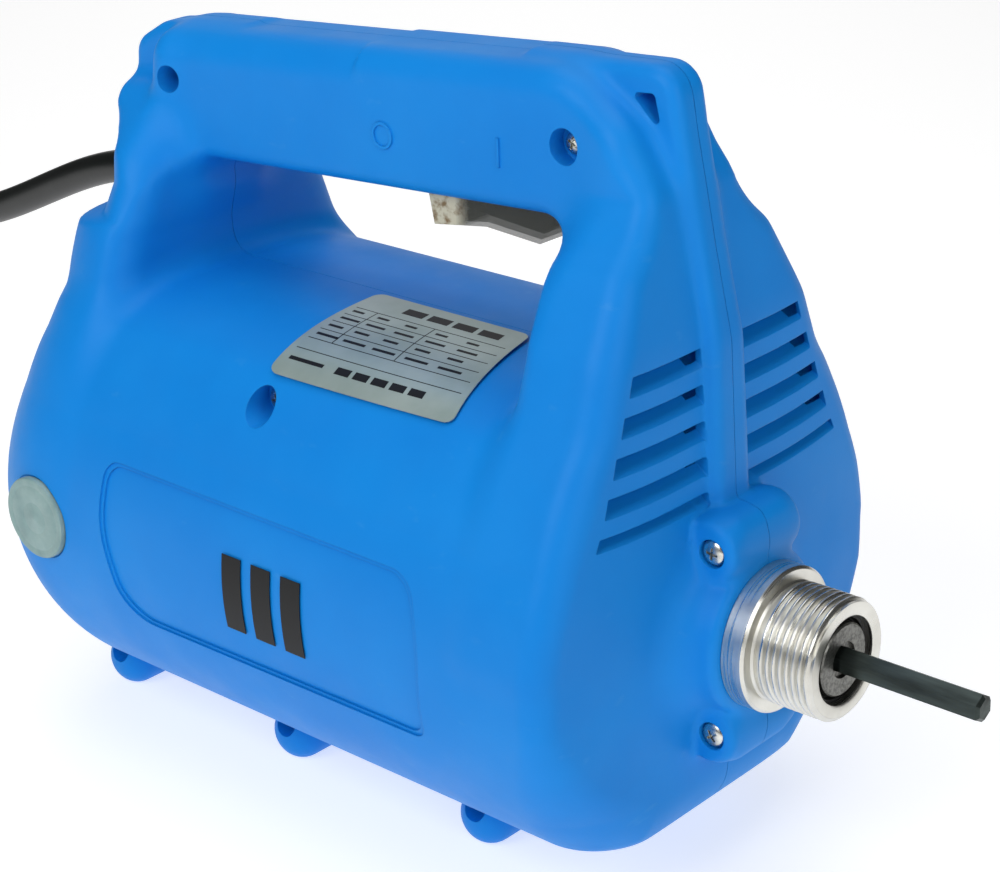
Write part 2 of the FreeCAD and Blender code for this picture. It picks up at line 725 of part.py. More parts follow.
def commutator():
    """Copper bars on an insulating hub, cut apart by narrow slots."""
    front = "-dim.commutator_centre + dim.commutator_length / 2"
    rear = "-dim.commutator_centre - dim.commutator_length / 2"
    body = turned("commutator", [
        (rear, "dim.shaft_radius + 0.05"), (rear, "dim.commutator_radius"),
        (front, "dim.commutator_radius"), (front, "dim.commutator_radius + 2.5"),
        (f"{front} + 3", "dim.commutator_radius + 2.5"), (f"{front} + 3", "dim.shaft_radius + 0.05")])
    sketch = new_sketch(body, "YZ_Plane", f"{front} + 4")
    add_rectangle(sketch, "-0.4", "0.4", "dim.commutator_radius - 1.2", "dim.commutator_radius + 3")
    slot = checked_pocket(body, sketch, "dim.commutator_length + 6", False)
    pattern = body.newObject("PartDesign::PolarPattern", "commutator_slots")
    pattern.Originals = [slot]
    axis = [item for item in body.Origin.OriginFeatures if item.Role == "X_Axis"][0]
    pattern.Axis = (axis, [""])
    pattern.Angle = 360
    pattern.Occurrences = 24
    body.Tip = pattern
    return body


def cooling_fan():
    """Radial fan: hub, back plate and straight blades."""
    blades = 9
    body = turned("cooling_fan", [
        ("-dim.fan_rear", "dim.shaft_radius + 0.05"), ("-dim.fan_rear", "dim.fan_hub"),
        ("-dim.fan_front - 4", "dim.fan_hub"), ("-dim.fan_front - 4", "dim.fan_radius"),
        ("-dim.fan_front - 1", "dim.fan_radius"), ("-dim.fan_front", "dim.fan_hub"),
        ("-dim.fan_front", "dim.shaft_radius + 0.05")])
    sketch = new_sketch(body, "YZ_Plane", "-dim.fan_rear + 2")
    add_rectangle(sketch, "-1", "1", "dim.fan_hub - 1", "dim.fan_radius - 1")
    blade = extrude("Pad", body, sketch, "dim.fan_rear - dim.fan_front - 5", False)
    pattern = body.newObject("PartDesign::PolarPattern", "fan_blades")
    pattern.Originals = [blade]
    axis = [item for item in body.Origin.OriginFeatures if item.Role == "X_Axis"][0]
    pattern.Axis = (axis, [""])
    pattern.Angle = 360
    pattern.Occurrences = blades
    body.Tip = pattern
    return body


def field_stack():
    """Laminated stator with two pole arcs facing the armature."""
    body = ring("field_stack", "-dim.core_front", "-dim.core_rear",
                "dim.core_radius + dim.air_gap", "dim.stack_radius")
    sketch = new_sketch(body, "YZ_Plane", "-dim.core_front")
    for sign in ("", "-"):
        add_rectangle(sketch, f"{sign}22", f"{sign}36", "-18", "18")
    checked_pocket(body, sketch, "dim.core_rear - dim.core_front", False)
    return body


def field_coils():
    """End turns of the field winding over and under the armature at both ends of the stack."""
    coils = []
    for name, end, sign in (("front", "-dim.core_front", 1), ("rear", "-dim.core_rear", -1)):
        for half in (1, -1):
            body = new_body(f"coil_{name}_{'top' if half == 1 else 'bottom'}")
            sketch = new_sketch(body, "YZ_Plane", f"{end} + {sign} * 0.1")
            add_outline(sketch, [
                ("-24", f"{half} * 32.5"), ("24", f"{half} * 32.5"), ("30", f"{half} * 26"),
                ("36", f"{half} * 30"), ("27", f"{half} * 41"), ("14", f"{half} * 47"),
                ("-14", f"{half} * 47"), ("-27", f"{half} * 41"), ("-36", f"{half} * 30"),
                ("-30", f"{half} * 26")])
            extrude("Pad", body, sketch, "dim.coil_length", sign == -1)
            coils.append(body)
    return group("field_coils", coils)


def fan_baffle():
    """Flat ring that closes the barrel around the fan so that air passes through its eye."""
    body = ring("fan_baffle", "-dim.baffle_front", "-dim.baffle_front - dim.baffle_width",
                "dim.baffle_eye", "dim.barrel_radius - dim.wall - 0.5")
    sketch = new_sketch(body, "XZ_Plane")
    low, high = "-110", "-90"
    add_rectangle(sketch, low, high, "dim.barrel_top - dim.wall - 0.5", "90")
    add_rectangle(sketch, low, high, "-90", "-dim.foot_axis + dim.foot_radius + 0.5")
    checked_pocket(body, sketch, "200", False, symmetric=True)
    return body


def rear_bearing_sleeve():
    """Rubber ring that seats the rear bearing in the casing."""
    return ring("rear_bearing_sleeve", "-dim.rear_bearing_front",
                "-dim.rear_bearing_front - dim.rear_bearing_width",
                "dim.rear_bearing_radius", "dim.sleeve_radius")


def bearing_circlip():
    """Internal retaining ring behind the front bearing, open at the bottom."""
    rear = "-dim.front_bearing_front - dim.front_bearing_width"
    body = ring("bearing_circlip", f"{rear} - 0.05", f"{rear} - dim.circlip_width",
                "dim.front_bearing_radius - 2.4", "dim.front_bearing_radius + dim.circlip_groove - 0.1")
    sketch = new_sketch(body, "XZ_Plane")
    add_rectangle(sketch, "-40", "-20", "-30", "-10")
    checked_pocket(body, sketch, "14", False, symmetric=True)
    return body


# ---------------------------------------------------------------- brush gear

def brush_parts(side):
    """Holder, carbon brush, spring and screw cap on one side of the commutator."""
    name = "left" if side == LEFT else "right"
    s = str(side)
    centre = "-dim.commutator_centre"
    holder = new_body("brush_holder_" + name)
    sketch = new_sketch(holder, "XZ_Plane", f"{-side} * dim.holder_inner_end")
    wide, tall = "(dim.brush_axial / 2 + 0.05)", "(dim.brush_thick / 2 + 0.05)"
    wall = "dim.holder_wall"
    add_rectangle(sketch, f"{centre} - {wide} - {wall} + 0.1", f"{centre} + {wide} + {wall} - 0.1",
                  f"-{tall} - {wall} + 0.1", f"{tall} + {wall} - 0.1")
    add_rectangle(sketch, f"{centre} - {wide}", f"{centre} + {wide}", f"-{tall}", tall)
    extrude("Pad", holder, sketch, "dim.holder_outer_end - dim.holder_inner_end", side == RIGHT)

    brush = new_body("carbon_brush_" + name)
    sketch = new_sketch(brush, "XZ_Plane", f"{-side} * 15")
    add_rectangle(sketch, f"{centre} - dim.brush_axial / 2", f"{centre} + dim.brush_axial / 2",
                  "-dim.brush_thick / 2", "dim.brush_thick / 2")
    extrude("Pad", brush, sketch, "dim.brush_outer - 15", side == RIGHT)
    sketch = new_sketch(brush, "YZ_Plane", f"{centre} + 20")
    add_circle(sketch, "0", "0", "dim.commutator_radius + dim.fit_gap")
    checked_pocket(brush, sketch, "40", False)

    radius = 3.0
    wire = 0.45
    start = size("brush_outer") + wire + 0.1
    length = size("holder_outer_end") - start - wire - 0.1
    coil = Part.makeHelix(length / 6, length, radius)
    section = Part.Wire([Part.makeCircle(wire, Vector(radius, 0, 0), Vector(0, 1, 0))])
    spring = DOC.addObject("Part::Feature", "brush_spring_" + name)
    spring.Label = "brush_spring_" + name
    spring.Shape = Part.Wire(coil.Edges).makePipeShell([section], True, True)
    spring.Placement = Placement(Vector(-size("commutator_centre"), side * start, 0),
                                 Rotation(Vector(1, 0, 0), -90 * side))

    cap = new_body("brush_cap_" + name)
    sketch = new_sketch(cap, "XZ_Plane", f"{-side} * (dim.cap_seat + 0.1)")
    add_circle(sketch, centre, "0", "dim.cap_radius")
    extrude("Pad", cap, sketch, "dim.cap_face - dim.cap_seat - 0.1", side == RIGHT)
    sketch = new_sketch(cap, "XZ_Plane", f"{-side} * (dim.holder_outer_end + 0.1)")
    add_circle(sketch, centre, "0", "dim.cap_plug")
    extrude("Pad", cap, sketch, "dim.cap_seat - dim.holder_outer_end + 0.5", side == RIGHT)
    return [holder, brush, spring, cap]


# ---------------------------------------------------------------- switch

def switch_rocker():
    """Rocker that shows its front end when the unit is off."""
    body = new_body("switch_rocker")
    sketch = new_sketch(body, "XZ_Plane")
    add_outline(sketch, [
        ("-132", "124"), ("-130.5", "122.5"), ("-110", "120.2"), ("-89.5", "118.6"), ("-86", "121"),
        ("-84.8", "129.6"), ("-104", "132"), ("-104", "134.5"), ("-114", "134.5"), ("-114", "132.5"),
        ("-132.3", "133.8")])
    extrude("Pad", body, sketch, "2 * dim.rocker_half", False, symmetric=True)
    sketch = new_sketch(body, "XZ_Plane")
    add_circle(sketch, "-dim.pivot_x", "dim.pivot_z", "dim.pivot_radius")
    extrude("Pad", body, sketch, "2 * dim.ear_outer", False, symmetric=True)
    return body


def switch_body():
    """Switch module with two ears that carry the rocker's trunnions."""
    body = new_body("switch_body")
    sketch = new_sketch(body, "XZ_Plane")
    add_rectangle(sketch, "-dim.switch_rear", "-dim.switch_front", "dim.switch_bottom", "dim.switch_top")
    extrude("Pad", body, sketch, "24", False, symmetric=True)
    for sign in (LEFT, RIGHT):
        sketch = new_sketch(body, "XZ_Plane", f"{-sign} * dim.ear_inner")
        add_rectangle(sketch, "-dim.pivot_x - 4", "-dim.pivot_x + 4", "dim.pivot_z - 3.5",
                      "dim.switch_bottom + 1")
        extrude("Pad", body, sketch, "dim.ear_outer - dim.ear_inner", sign == RIGHT)
    sketch = new_sketch(body, "XZ_Plane")
    add_circle(sketch, "-dim.pivot_x", "dim.pivot_z", "dim.pivot_radius + dim.fit_gap")
    checked_pocket(body, sketch, "40", False, symmetric=True)
    return body


def switch_terminals():
    """Four brass blades on the rear of the switch."""
    blades = []
    for y in ("-8", "-3.2", "3.2", "8"):
        blades.append(primitive("Box", "blade", ("-dim.switch_rear - 8", f"{y} - 0.4", "147"),
                                Length="7.95", Width="0.8", Height="6"))
    return group("switch_terminals", blades)


def switch_boot():
    """Clear flexible guard that encloses the rocker below the handle."""
    body = new_body("switch_boot")
    flange = new_sketch(body, "XY_Plane", "135.6")
    add_rectangle(flange, "-139", "-73", "-15", "15")
    extrude("Pad", body, flange, "1.4", False)
    outline = [("-135.8", "136"), ("-135.8", "127"), ("-133.4", "114.6"), ("-110.5", "117.9"),
               ("-88", "116.4"), ("-78.5", "121"), ("-76.2", "131"), ("-76.2", "136")]
    sketch = new_sketch(body, "XZ_Plane")
    add_outline(sketch, outline)
    extrude("Pad", body, sketch, "2 * dim.boot_half", False, symmetric=True)
    inside = [("-134.6", "138"), ("-134.6", "127"), ("-132.4", "115.95"), ("-110.5", "119.1"),
              ("-88.3", "117.65"), ("-79.5", "121.8"), ("-77.4", "131"), ("-77.4", "138")]
    sketch = new_sketch(body, "XZ_Plane")
    add_outline(sketch, inside)
    checked_pocket(body, sketch, "2 * (dim.boot_half - dim.boot_wall)", False, symmetric=True)
    return body


# ---------------------------------------------------------------- cable and wiring

def swept_cable(label, points, radius):
    """A round cable of one radius along a smooth curve through the points."""
    curve = Part.BSplineCurve()
    curve.interpolate(points)
    spine = Part.Wire([curve.toShape()])
    direction = curve.tangent(curve.FirstParameter)[0]
    section = Part.Wire([Part.makeCircle(radius, points[0], direction)])
    item = DOC.addObject("Part::Feature", label)
    item.Label = label
    item.Shape = spine.makePipeShell([section], True, False)
    return item


def power_cable():
    height = size("cable_height")
    inner, bend = size("cable_inner_end"), size("cable_bend")
    points = [Vector(-inner, 0, height), Vector(-(inner + bend) / 2, 0, height), Vector(-bend, 0, height),
              Vector(-size("cable_slope_x"), 0, size("cable_slope_z")),
              Vector(-size("cable_tip_x"), 0, size("cable_tip_z"))]
    return swept_cable("power_cable", points, size("cable_radius"))


def cable_grommet():
    """Rubber bush around the cable in the rear wall."""
    tube = primitive("Cylinder", "grommet_tube", ("-288.5", "0", "dim.cable_height"),
                     Radius="8", Height="12")
    bore = primitive("Cylinder", "grommet_bore", ("-290", "0", "dim.cable_height"),
                     Radius="dim.cable_radius + 0.4", Height="20")
    for item in (tube, bore):
        item.Placement = Placement(item.Placement.Base, Rotation(Vector(0, 1, 0), 90))
    return boolean("Cut", "cable_grommet", tube, bore)


def cable_clamp():
    """Strap over the cable and its two screws."""
    strap = primitive("Box", "clamp_strap", ("-272", "-15", "dim.cable_height - 3"),
                      Length="8", Width="30", Height="12")
    bore = primitive("Cylinder", "clamp_bore", ("-280", "0", "dim.cable_height"),
                     Radius="dim.cable_radius + 0.3", Height="20")
    bore.Placement = Placement(bore.Placement.Base, Rotation(Vector(0, 1, 0), 90))
    notch = primitive("Box", "clamp_notch", ("-280", "-dim.cable_radius - 0.3", "dim.cable_height - 10"),
                      Length="20", Width="2 * dim.cable_radius + 0.6", Height="10")
    holes = [primitive("Cylinder", "clamp_hole", ("-268", y, "dim.cable_height - 10"),
                       Radius="1.6", Height="30") for y in ("-11", "11")]
    tool = DOC.addObject("Part::MultiFuse", "clamp_tool")
    tool.Shapes = [bore, notch] + holes
    strap_cut = boolean("Cut", "cable_clamp", strap, tool)
    screws = []
    for y in ("-11", "11"):
        shank = primitive("Cylinder", "clamp_shank", ("-268", y, "dim.cable_height - 8"),
                          Radius="1.55", Height="17.05")
        head = primitive("Cylinder", "clamp_head", ("-268", y, "dim.cable_height + 9.02"),
                         Radius="3", Height="2.2")
        screws.append(boolean("Fuse", "clamp_screw", shank, head))
    return [strap_cut, group("clamp_screws", screws)]


def wiring_leads():
    """Insulated leads from the cable to the switch and from the switch to the field coils."""
    leads = []
    radius = size("lead_radius")
    for i, y in enumerate((-3.2, 3.2)):
        points = [Vector(-260, y, 104), Vector(-255, y, 114), Vector(-240, y, 137),
                  Vector(-200, y, 146), Vector(-143, y, 150)]
        leads.append(swept_cable(f"supply_lead_{i}", points, radius))
    for i, y in enumerate((-8.0, 8.0)):
        points = [Vector(-143, y, 150), Vector(-200, y, 143), Vector(-236, y, 133),
                  Vector(-254, y * 1.5, 112), Vector(-254, y * 1.5, 80), Vector(-250, y, 58),
                  Vector(-247, y, 46)]
        leads.append(swept_cable(f"motor_lead_{i}", points, radius))
    return group("wiring_leads", leads)


def suppression_capacitor():
    """Moulded capacitor that lies in the handle behind the switch."""
    item = primitive("Box", "suppression_capacitor", ("-206", "-11", "152"),
                     Length="34", Width="22", Height="11")
    return item


# ---------------------------------------------------------------- screws, plates

def casing_screws():
    """Eight pan head screws that draw the half shells together."""
    screws = []
    for i, (x, z, seat) in enumerate(screw_places()):
        shank = along_y(primitive("Cylinder", f"shank_{i}", (x, f"-({seat})", z),
                                  Radius="dim.screw_radius - 0.25",
                                  Height=f"{seat} + dim.screw_bite"))
        head = along_y(primitive("Cylinder", f"head_{i}", (x, f"-({seat}) - dim.screw_head_height", z),
                                 Radius="dim.screw_head", Height="dim.screw_head_height"))
        screws.append(boolean("Fuse", f"screw_{i}", shank, head))
    return group("casing_screws", screws)


def curved_plate(label, side, front, rear, outer, thickness, low_angle, high_angle):
    """A thin plate bent round the barrel, between two angles above the horizontal."""
    body = new_body(label)
    sketch = new_sketch(body, "XY_Plane")
    add_rectangle(sketch, f"-{rear}", f"-{front}", f"{side} * ({outer})",
                  f"{side} * ({outer} + {thickness})")
    feature = turn("Revolution", body, sketch, high_angle - low_angle, False)
    middle = (high_angle + low_angle) / 2
    feature.Midplane = True
    body.Placement = Placement(Vector(0, 0, 0), Rotation(Vector(1, 0, 0), middle * -side * -1))
    return body


def data_plate():
    """Rating plate that lies on the flat top and bends down the left shoulder of the barrel."""
    body = new_body("data_plate")
    sketch = new_sketch(body, "YZ_Plane", "-dim.label_rear")
    gap = 0.03
    arc_angles = (66.1, 63.0, 60.0, 57.0, 54.0, 51.5)
    under = [("-4.5", f"dim.barrel_top + {gap}")]
    over = [("-4.5", f"dim.barrel_top + {gap} + dim.label_thick")]
    for angle in arc_angles:
        across, up = f"cos({angle} deg)", f"sin({angle} deg)"
        for points, radius in ((under, f"(dim.barrel_radius + {2 * gap})"),
                               (over, f"(dim.barrel_radius + {2 * gap} + dim.label_thick)")):
            points.append((f"-{radius} * {across}", f"{radius} * {up}"))
    add_outline(sketch, under + list(reversed(over)))
    extrude("Pad", body, sketch, "dim.label_rear - dim.label_front", False)
    return body


def side_badges():
    """A plain three-bar badge in each side panel."""
    badges = []
    for side, name in ((LEFT, "left"), (RIGHT, "right")):
        bars = []
        for i in range(3):
            front = 130 + 14 * i
            bars.append(curved_plate(f"bar_{name}_{i}", side, str(front), str(front + 9),
                                     "dim.barrel_radius - dim.panel_depth + 0.02", "0.25", -9, 9))
        badges.append(group("side_badge_" + name, bars))
    return badges


# ---------------------------------------------------------------- assembly

def build_all():
    parts = [half_shell(LEFT), half_shell(RIGHT), casing_screws()]
    parts += [coupling_nose(), nose_seal(), bearing_circlip(), drive_socket(), hex_drive_shaft()]
    parts += [armature_shaft(), armature_core(), armature_windings(), commutator(), cooling_fan()]
    parts += bearing("front", "-dim.front_bearing_front", "dim.front_bearing_width",
                     "dim.journal_radius", "dim.front_bearing_radius", "dim.front_race_inner",
                     "dim.front_race_outer", "dim.front_ball_radius", "dim.front_ball_pitch", 8)
    parts += bearing("rear", "-dim.rear_bearing_front", "dim.rear_bearing_width",
                     "dim.rear_bearing_bore", "dim.rear_bearing_radius", "dim.rear_race_inner",
                     "dim.rear_race_outer", "dim.rear_ball_radius", "dim.rear_ball_pitch", 7)
    parts += [rear_bearing_sleeve(), field_stack(), field_coils(), fan_baffle()]
    parts += brush_parts(LEFT) + brush_parts(RIGHT)
    parts += [switch_body(), switch_rocker(), switch_boot(), switch_terminals()]
    parts += [power_cable(), cable_grommet(), wiring_leads(), suppression_capacitor()]
    parts += cable_clamp()
    parts += [data_plate()] + side_badges()
    return parts


def check(parts):
    """Stops if any object failed to compute or any part's shape is missing or broken."""
    failed = [item.Name for item in DOC.Objects if {"Invalid", "Error"} & set(item.State)]
    if failed:
        raise RuntimeError("these objects failed: " + ", ".join(failed))
    for item in parts:
        if item.Shape.isNull() or not item.Shape.isValid() or not item.Shape.Solids:
            raise RuntimeError(item.Label + " has no valid solid")


build_sheet()
PARTS = build_all()
DOC.recompute()
check(PARTS)
os.makedirs("parts", exist_ok=True)
for part in PARTS:
    part.Shape.exportStep(f"parts/{part.Label}.step")
    box = part.Shape.BoundBox
    print(f"{part.Label:24s} {len(part.Shape.Solids):3d} solids  volume {part.Shape.Volume:10.0f}  "
          f"x {box.XMin:.1f} {box.XMax:.1f}  y {box.YMin:.1f} {box.YMax:.1f}  "
          f"z {box.ZMin:.1f} {box.ZMax:.1f}")
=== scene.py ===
"""Looks of the concrete vibrator drive unit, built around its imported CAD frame.

The shape code works in millimetres in the CAD frame: x points out of the nose, y to the right, z up, and
the origin is on the drive axis at the front shoulder of the coupling nose. Meshes are scaled to metres when
made. A form is a function of x, y and z whose value is the distance to a surface, negative inside it.
"""
import json
import math

import bmesh
import bpy
import numpy as np
from mathutils import Matrix, Vector


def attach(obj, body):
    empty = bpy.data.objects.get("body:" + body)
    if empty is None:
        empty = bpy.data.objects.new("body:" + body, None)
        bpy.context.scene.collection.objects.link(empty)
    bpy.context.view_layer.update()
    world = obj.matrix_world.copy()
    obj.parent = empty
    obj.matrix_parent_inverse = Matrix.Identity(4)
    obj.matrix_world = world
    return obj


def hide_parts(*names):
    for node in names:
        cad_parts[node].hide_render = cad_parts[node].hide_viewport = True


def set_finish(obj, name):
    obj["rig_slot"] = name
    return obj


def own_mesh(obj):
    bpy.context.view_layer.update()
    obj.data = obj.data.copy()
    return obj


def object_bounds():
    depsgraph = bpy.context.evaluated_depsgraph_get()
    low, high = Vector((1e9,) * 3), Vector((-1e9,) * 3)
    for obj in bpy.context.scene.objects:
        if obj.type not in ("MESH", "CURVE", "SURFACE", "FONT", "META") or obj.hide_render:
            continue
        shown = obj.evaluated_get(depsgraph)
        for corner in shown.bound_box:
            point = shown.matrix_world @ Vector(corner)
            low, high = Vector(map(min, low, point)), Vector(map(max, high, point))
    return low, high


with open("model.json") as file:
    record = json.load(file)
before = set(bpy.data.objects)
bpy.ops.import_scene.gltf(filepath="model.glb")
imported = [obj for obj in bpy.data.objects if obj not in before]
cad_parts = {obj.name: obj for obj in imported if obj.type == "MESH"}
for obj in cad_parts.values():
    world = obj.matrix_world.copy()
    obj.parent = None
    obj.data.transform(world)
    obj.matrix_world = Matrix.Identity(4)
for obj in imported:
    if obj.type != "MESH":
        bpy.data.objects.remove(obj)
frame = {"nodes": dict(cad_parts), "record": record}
CAD_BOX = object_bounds()
MM = 0.001

# ---------------------------------------------------------------- driving sizes, millimetres
GRID = 1.5            # mesh spacing of the casing's outside
CAVITY_GRID = 3.0     # mesh spacing of its inside
WALL = 3.0
SPLIT_GAP = 0.13                        # half the gap between the two shells
FAR = 150.0                             # a distance from the drive axis beyond the whole casing

BARREL_RADIUS = 87.5
BARREL_TOP = 80.0
BARREL_BOTTOM = 76.0
BARREL_REAR = 311.0
MIDDLE_X = -160.0                       # where the edge rounding of the front gives way to that of the rear
REAR_ROUND = 46.0
REAR_LEAN = 12.0                        # how far the rear face leans forward between the axis and the top
SHOULDER = 3.5                          # how far the upper shoulders stand outside the circle
POSTS_REAR = -296.0
FLAT_ROUND = 12.0                       # rounding between the round barrel and its flat top and bottom
POST_FILLET = 14.0
HANDLE_HALF = 19.5
HANDLE_ROUND = 10.0
FIN_HALF = 8.0
FIN_ROUND = 4.5
RIB_FOOT_HALF = 9.5                     # half width of the rib at the foot of the front face

BOSS_FRONT = 8.35
BOSS_RADIUS = 27.5
BLOCK_HALF = 15.0
BLOCK_HEIGHT = 42.0
BLOCK_FRONT = 9.5
LUMP_RADIUS = 10.5                      # of the lumps round the two nose screws
LUMP_HALF = 18.2
NOSE_REAR = -60.0                       # where the nose's forms and bore end, inside the casing

FOOT_RADIUS = 10.5
FOOT_AXIS = 82.6
FOOT_HALF = 45.0
FOOT_ROUND = 9.0
FEET_X = (-281.6, -189.2, -96.8)

VENT_COUNT = 5
VENT_TOP = 94.0
VENT_PITCH = 11.2
VENT_HEIGHT = 6.0
LAST_VENT_HEIGHT = 4.0
VENT_INNER = 9.6
VENT_REACH = 41.6                       # outer end of the top louvre
VENT_SPREAD = 4.5                       # how much farther out each lower louvre reaches
VENT_DROP = 2.25                        # how far below its outline a louvre's slot starts
VENT_RISE = 10.5                        # how far the slot climbs on its way in
VENT_FRONT = -23.0
VENT_BACK = -37.0
DUCT_FRONT = -28.8
DUCT_BACK = -47.0
DUCT_INNER = 5.0                        # how far the duct starts inside the +y ends of the louvres
DUCT_OUTER = 4.5                        # how far it runs past them
REAR_VENT_DROP = 86.0                   # how far the rear louvres start below the front ones
REAR_VENT_REACH = 32.0
REAR_VENT_RISE = 24.0
REAR_VENT_OUTSIDE = -324.0
REAR_VENT_INSIDE = -290.0

CAP_X = -264.0
CAP_RADIUS = 15.2
CAP_SEAT = 85.9
CAP_BORE = 12.2

CABLE_Z = 104.0
CABLE_HOLE = 8.0

SIGN_DEPTH = 0.6                        # how far the O and I signs stand out of the handle
SIGN_O = (-148.0, 143.6)
SIGN_O_RADIUS = 4.6
SIGN_O_BORE = 0.76                      # its hole, as a share of its size
SIGN_I = (-98.2, -97.1, 141.6, 151.0)   # rear, front, bottom and top
SWITCH_SLOT = (-136.2, -75.6, 100.0, 162.0)
SWITCH_HALF = 12.5

HEAD_HEIGHT = 2.6
SHANK_RADIUS = 1.75
SHANK_END = 16.0                        # on the far side of the split plane
CROSS_REACH = 2.1
CROSS_HALF = 0.42
# x, z, seat distance from the split plane, head radius and recess radius of every casing screw.
SCREWS = [(-250.8, 147.5, 12, 3.4, 4.8), (-70.9, 152.5, 12.9, 3.6, 5.8), (-163.8, 60.3, 57, 4.0, 6.0)]
PILLARS = SCREWS[:3]                    # these three stand in pillars inside the casing
PILLAR_RADIUS = 8.0
SCREWS += [(x, -77.4, 28, 3.4, 4.4) for x in FEET_X]
SCREWS += [(-16.0, z, 15.8, 4.3, 4.8) for z in (32, -32)]

THREAD_START = 2.8
THREAD_END = 22.4
THREAD_CREST = 20.0
THREAD_DEPTH = 1.45
THREAD_PITCH = 2.4

SPRING_RADIUS = 3.0
SPRING_WIRE = 0.45
SPRING_TURNS = 6
SPRING_ENDS = (50.6, 75.5)              # how far its inner and outer end stand from the drive axis

LABEL_REAR = -168.5
LABEL_LENGTH = 69.0
LABEL_TOP = -4.5
LABEL_DEPTH = 57
LABEL_CORNER = 3.5
FOIL = (0.03, 0.28)                     # how far the foil's two faces stand off the casing
PRINT = (0.24, 0.31)                    # the same for the print on it

# Solid left in the hollow behind the louvres: inner face, half width, middle height and half height.
FRONT_SOLID = (-43, 68, 70, 32)
REAR_SOLID = (-297, 42, -5, 34)

# Corners of the outlines as (x, z, rounding radius), seen from the side. WIDTH is the one seen along x, and
# has the distance from the split plane for x.
SILHOUETTE = (
    (-23.0, -200.0, 0), (-23.0, 27.0, 60), (-27.0, 98.0, 60), (-33.0, 128.0, 40), (-36.0, 142.5, 20),
    (-47.5, 161.0, 22), (-72.0, 176.4, 30), (-261.5, 164.2, 22), (-264.8, 144.2, 3), (-289.0, 141.0, 7),
    (-284.0, 122.0, 20), (-288.0, 98.5, 8), (-300.0, 91.0, 10), (-316.0, 78.0, 10), (-340.0, 40.0, 0),
    (-340.0, -200.0, 0))
WINDOW = (
    (-243.0, 0.0, 0), (-243.0, 100.0, 0), (-243.5, 120.3, 11), (-76.0, 128.9, 12), (-68.0, 117.0, 8),
    (-69.5, 100.0, 20), (-69.5, 0.0, 0))
FLARE_GAP = (
    (-243.0, 0.0, 0), (-243.0, 100.0, 0), (-250.0, 150.0, 30), (-240.0, 240.0, 0), (-60.0, 240.0, 0),
    (-60.0, 160.0, 30), (-69.5, 115.0, 20), (-69.5, 0.0, 0))
WIDTH = (
    (HANDLE_HALF, 260.0, 0), (HANDLE_HALF, 139.0, 6), (37.5, 123.0, 14), (51.5, 98.5, 50), (66.5, 56.0, 20),
    (80.0, 10.0, 0))
FRONT_FIN = (
    (-95.0, 176.3, 0), (-38.2, 178.9, 12), (-35.2, 160.0, 20), (-28.2, 124.0, 60), (-22.2, 95.7, 30),
    (-19.6, 30.0, 0), (-60.0, 30.0, 0), (-60.0, 140.0, 0), (-95.0, 140.0, 0))
REAR_FIN = (
    (-225.0, 140.0, 0), (-225.0, 166.2, 0), (-268.0, 163.2, 20), (-283.5, 154.6, 9), (-286.0, 134.0, 14),
    (-286.0, 116.0, 10), (-270.0, 105.0, 0))
PANEL = (
    (-227.5, 30.5, 7), (-82.5, 29.5, 11), (-76.5, 8.0, 60), (-78.5, -26.5, 6), (-222.5, -28.0, 16),
    (-229.5, 8.0, 60))
LANYARD_HOLE = ((-54.0, 169.6, 1.2), (-45.0, 170.4, 1.6), (-42.3, 159.0, 1.2))
# Each step of the side panel as how far it is inset and how deep it lies.
PANEL_STEPS = ((0, 0.7), (1.4, 1.4))
# Edge rounding that changes with height: the heights, then the radius at each.
WINDOW_ROUND = ((95, 116), (13, 5))
FRONT_ROUND = ((-80, -50, -10, 100, 140, 150), (26, 24, 9, 10, 6, 9))
BACK_ROUND = ((60, 75, 84, 97, 102, 112, 120, 128, 134), (40, 30, 15, 11, 40, 38, 28, 16, 12))
FIN_FILLET = ((108, 140), (1.6, 5))

# The camera of the main view, placed in metres.
CAMERA_TURN = (42.48, 22.76, -2.03)     # azimuth, elevation and roll in degrees
CAMERA_PLACE = (0.3898, -0.5557, 0.3552)
CAMERA_LENS = 87.08
# Lights as name, place, size and power, in metres and watts, all aimed at one point.
LIGHT_AIM = (-0.15, 0, 0.05)
LIGHTS = (
    ("key", (-0.15, -1.35, 1.0), 1.0, 13.5), ("front_fill", (1.2, -0.5, 0.65), 0.8, 6),
    ("overhead", (-0.2, 0.1, 1.5), 1.4, 12), ("rear_sheen", (-1.08, 1.02, 0.66), 1.3, 3.2))


# ---------------------------------------------------------------- outlines and distances

def rounded(corners, steps=7):
    """A closed outline through the corners (a, b, radius), each rounded by an arc."""
    outline = []
    for i, (a, b, radius) in enumerate(corners):
        here = Vector((a, b))
        to_last = Vector(corners[i - 1][:2]) - here
        to_next = Vector(corners[(i + 1) % len(corners)][:2]) - here
        half = to_last.angle(to_next) / 2
        if radius == 0 or half > math.radians(89.5):
            outline.append(here)
            continue
        reach = min(radius / math.tan(half), 0.49 * to_last.length, 0.49 * to_next.length)
        bisector = (to_last.normalized() + to_next.normalized()).normalized()
        centre = here + bisector * reach / math.cos(half)
        start = here + to_last.normalized() * reach - centre
        turn = start.angle_signed(here + to_next.normalized() * reach - centre)
        for step in range(steps + 1):
            outline.append(centre + Matrix.Rotation(-turn * step / steps, 2) @ start)
    return [tuple(point) for point in outline]


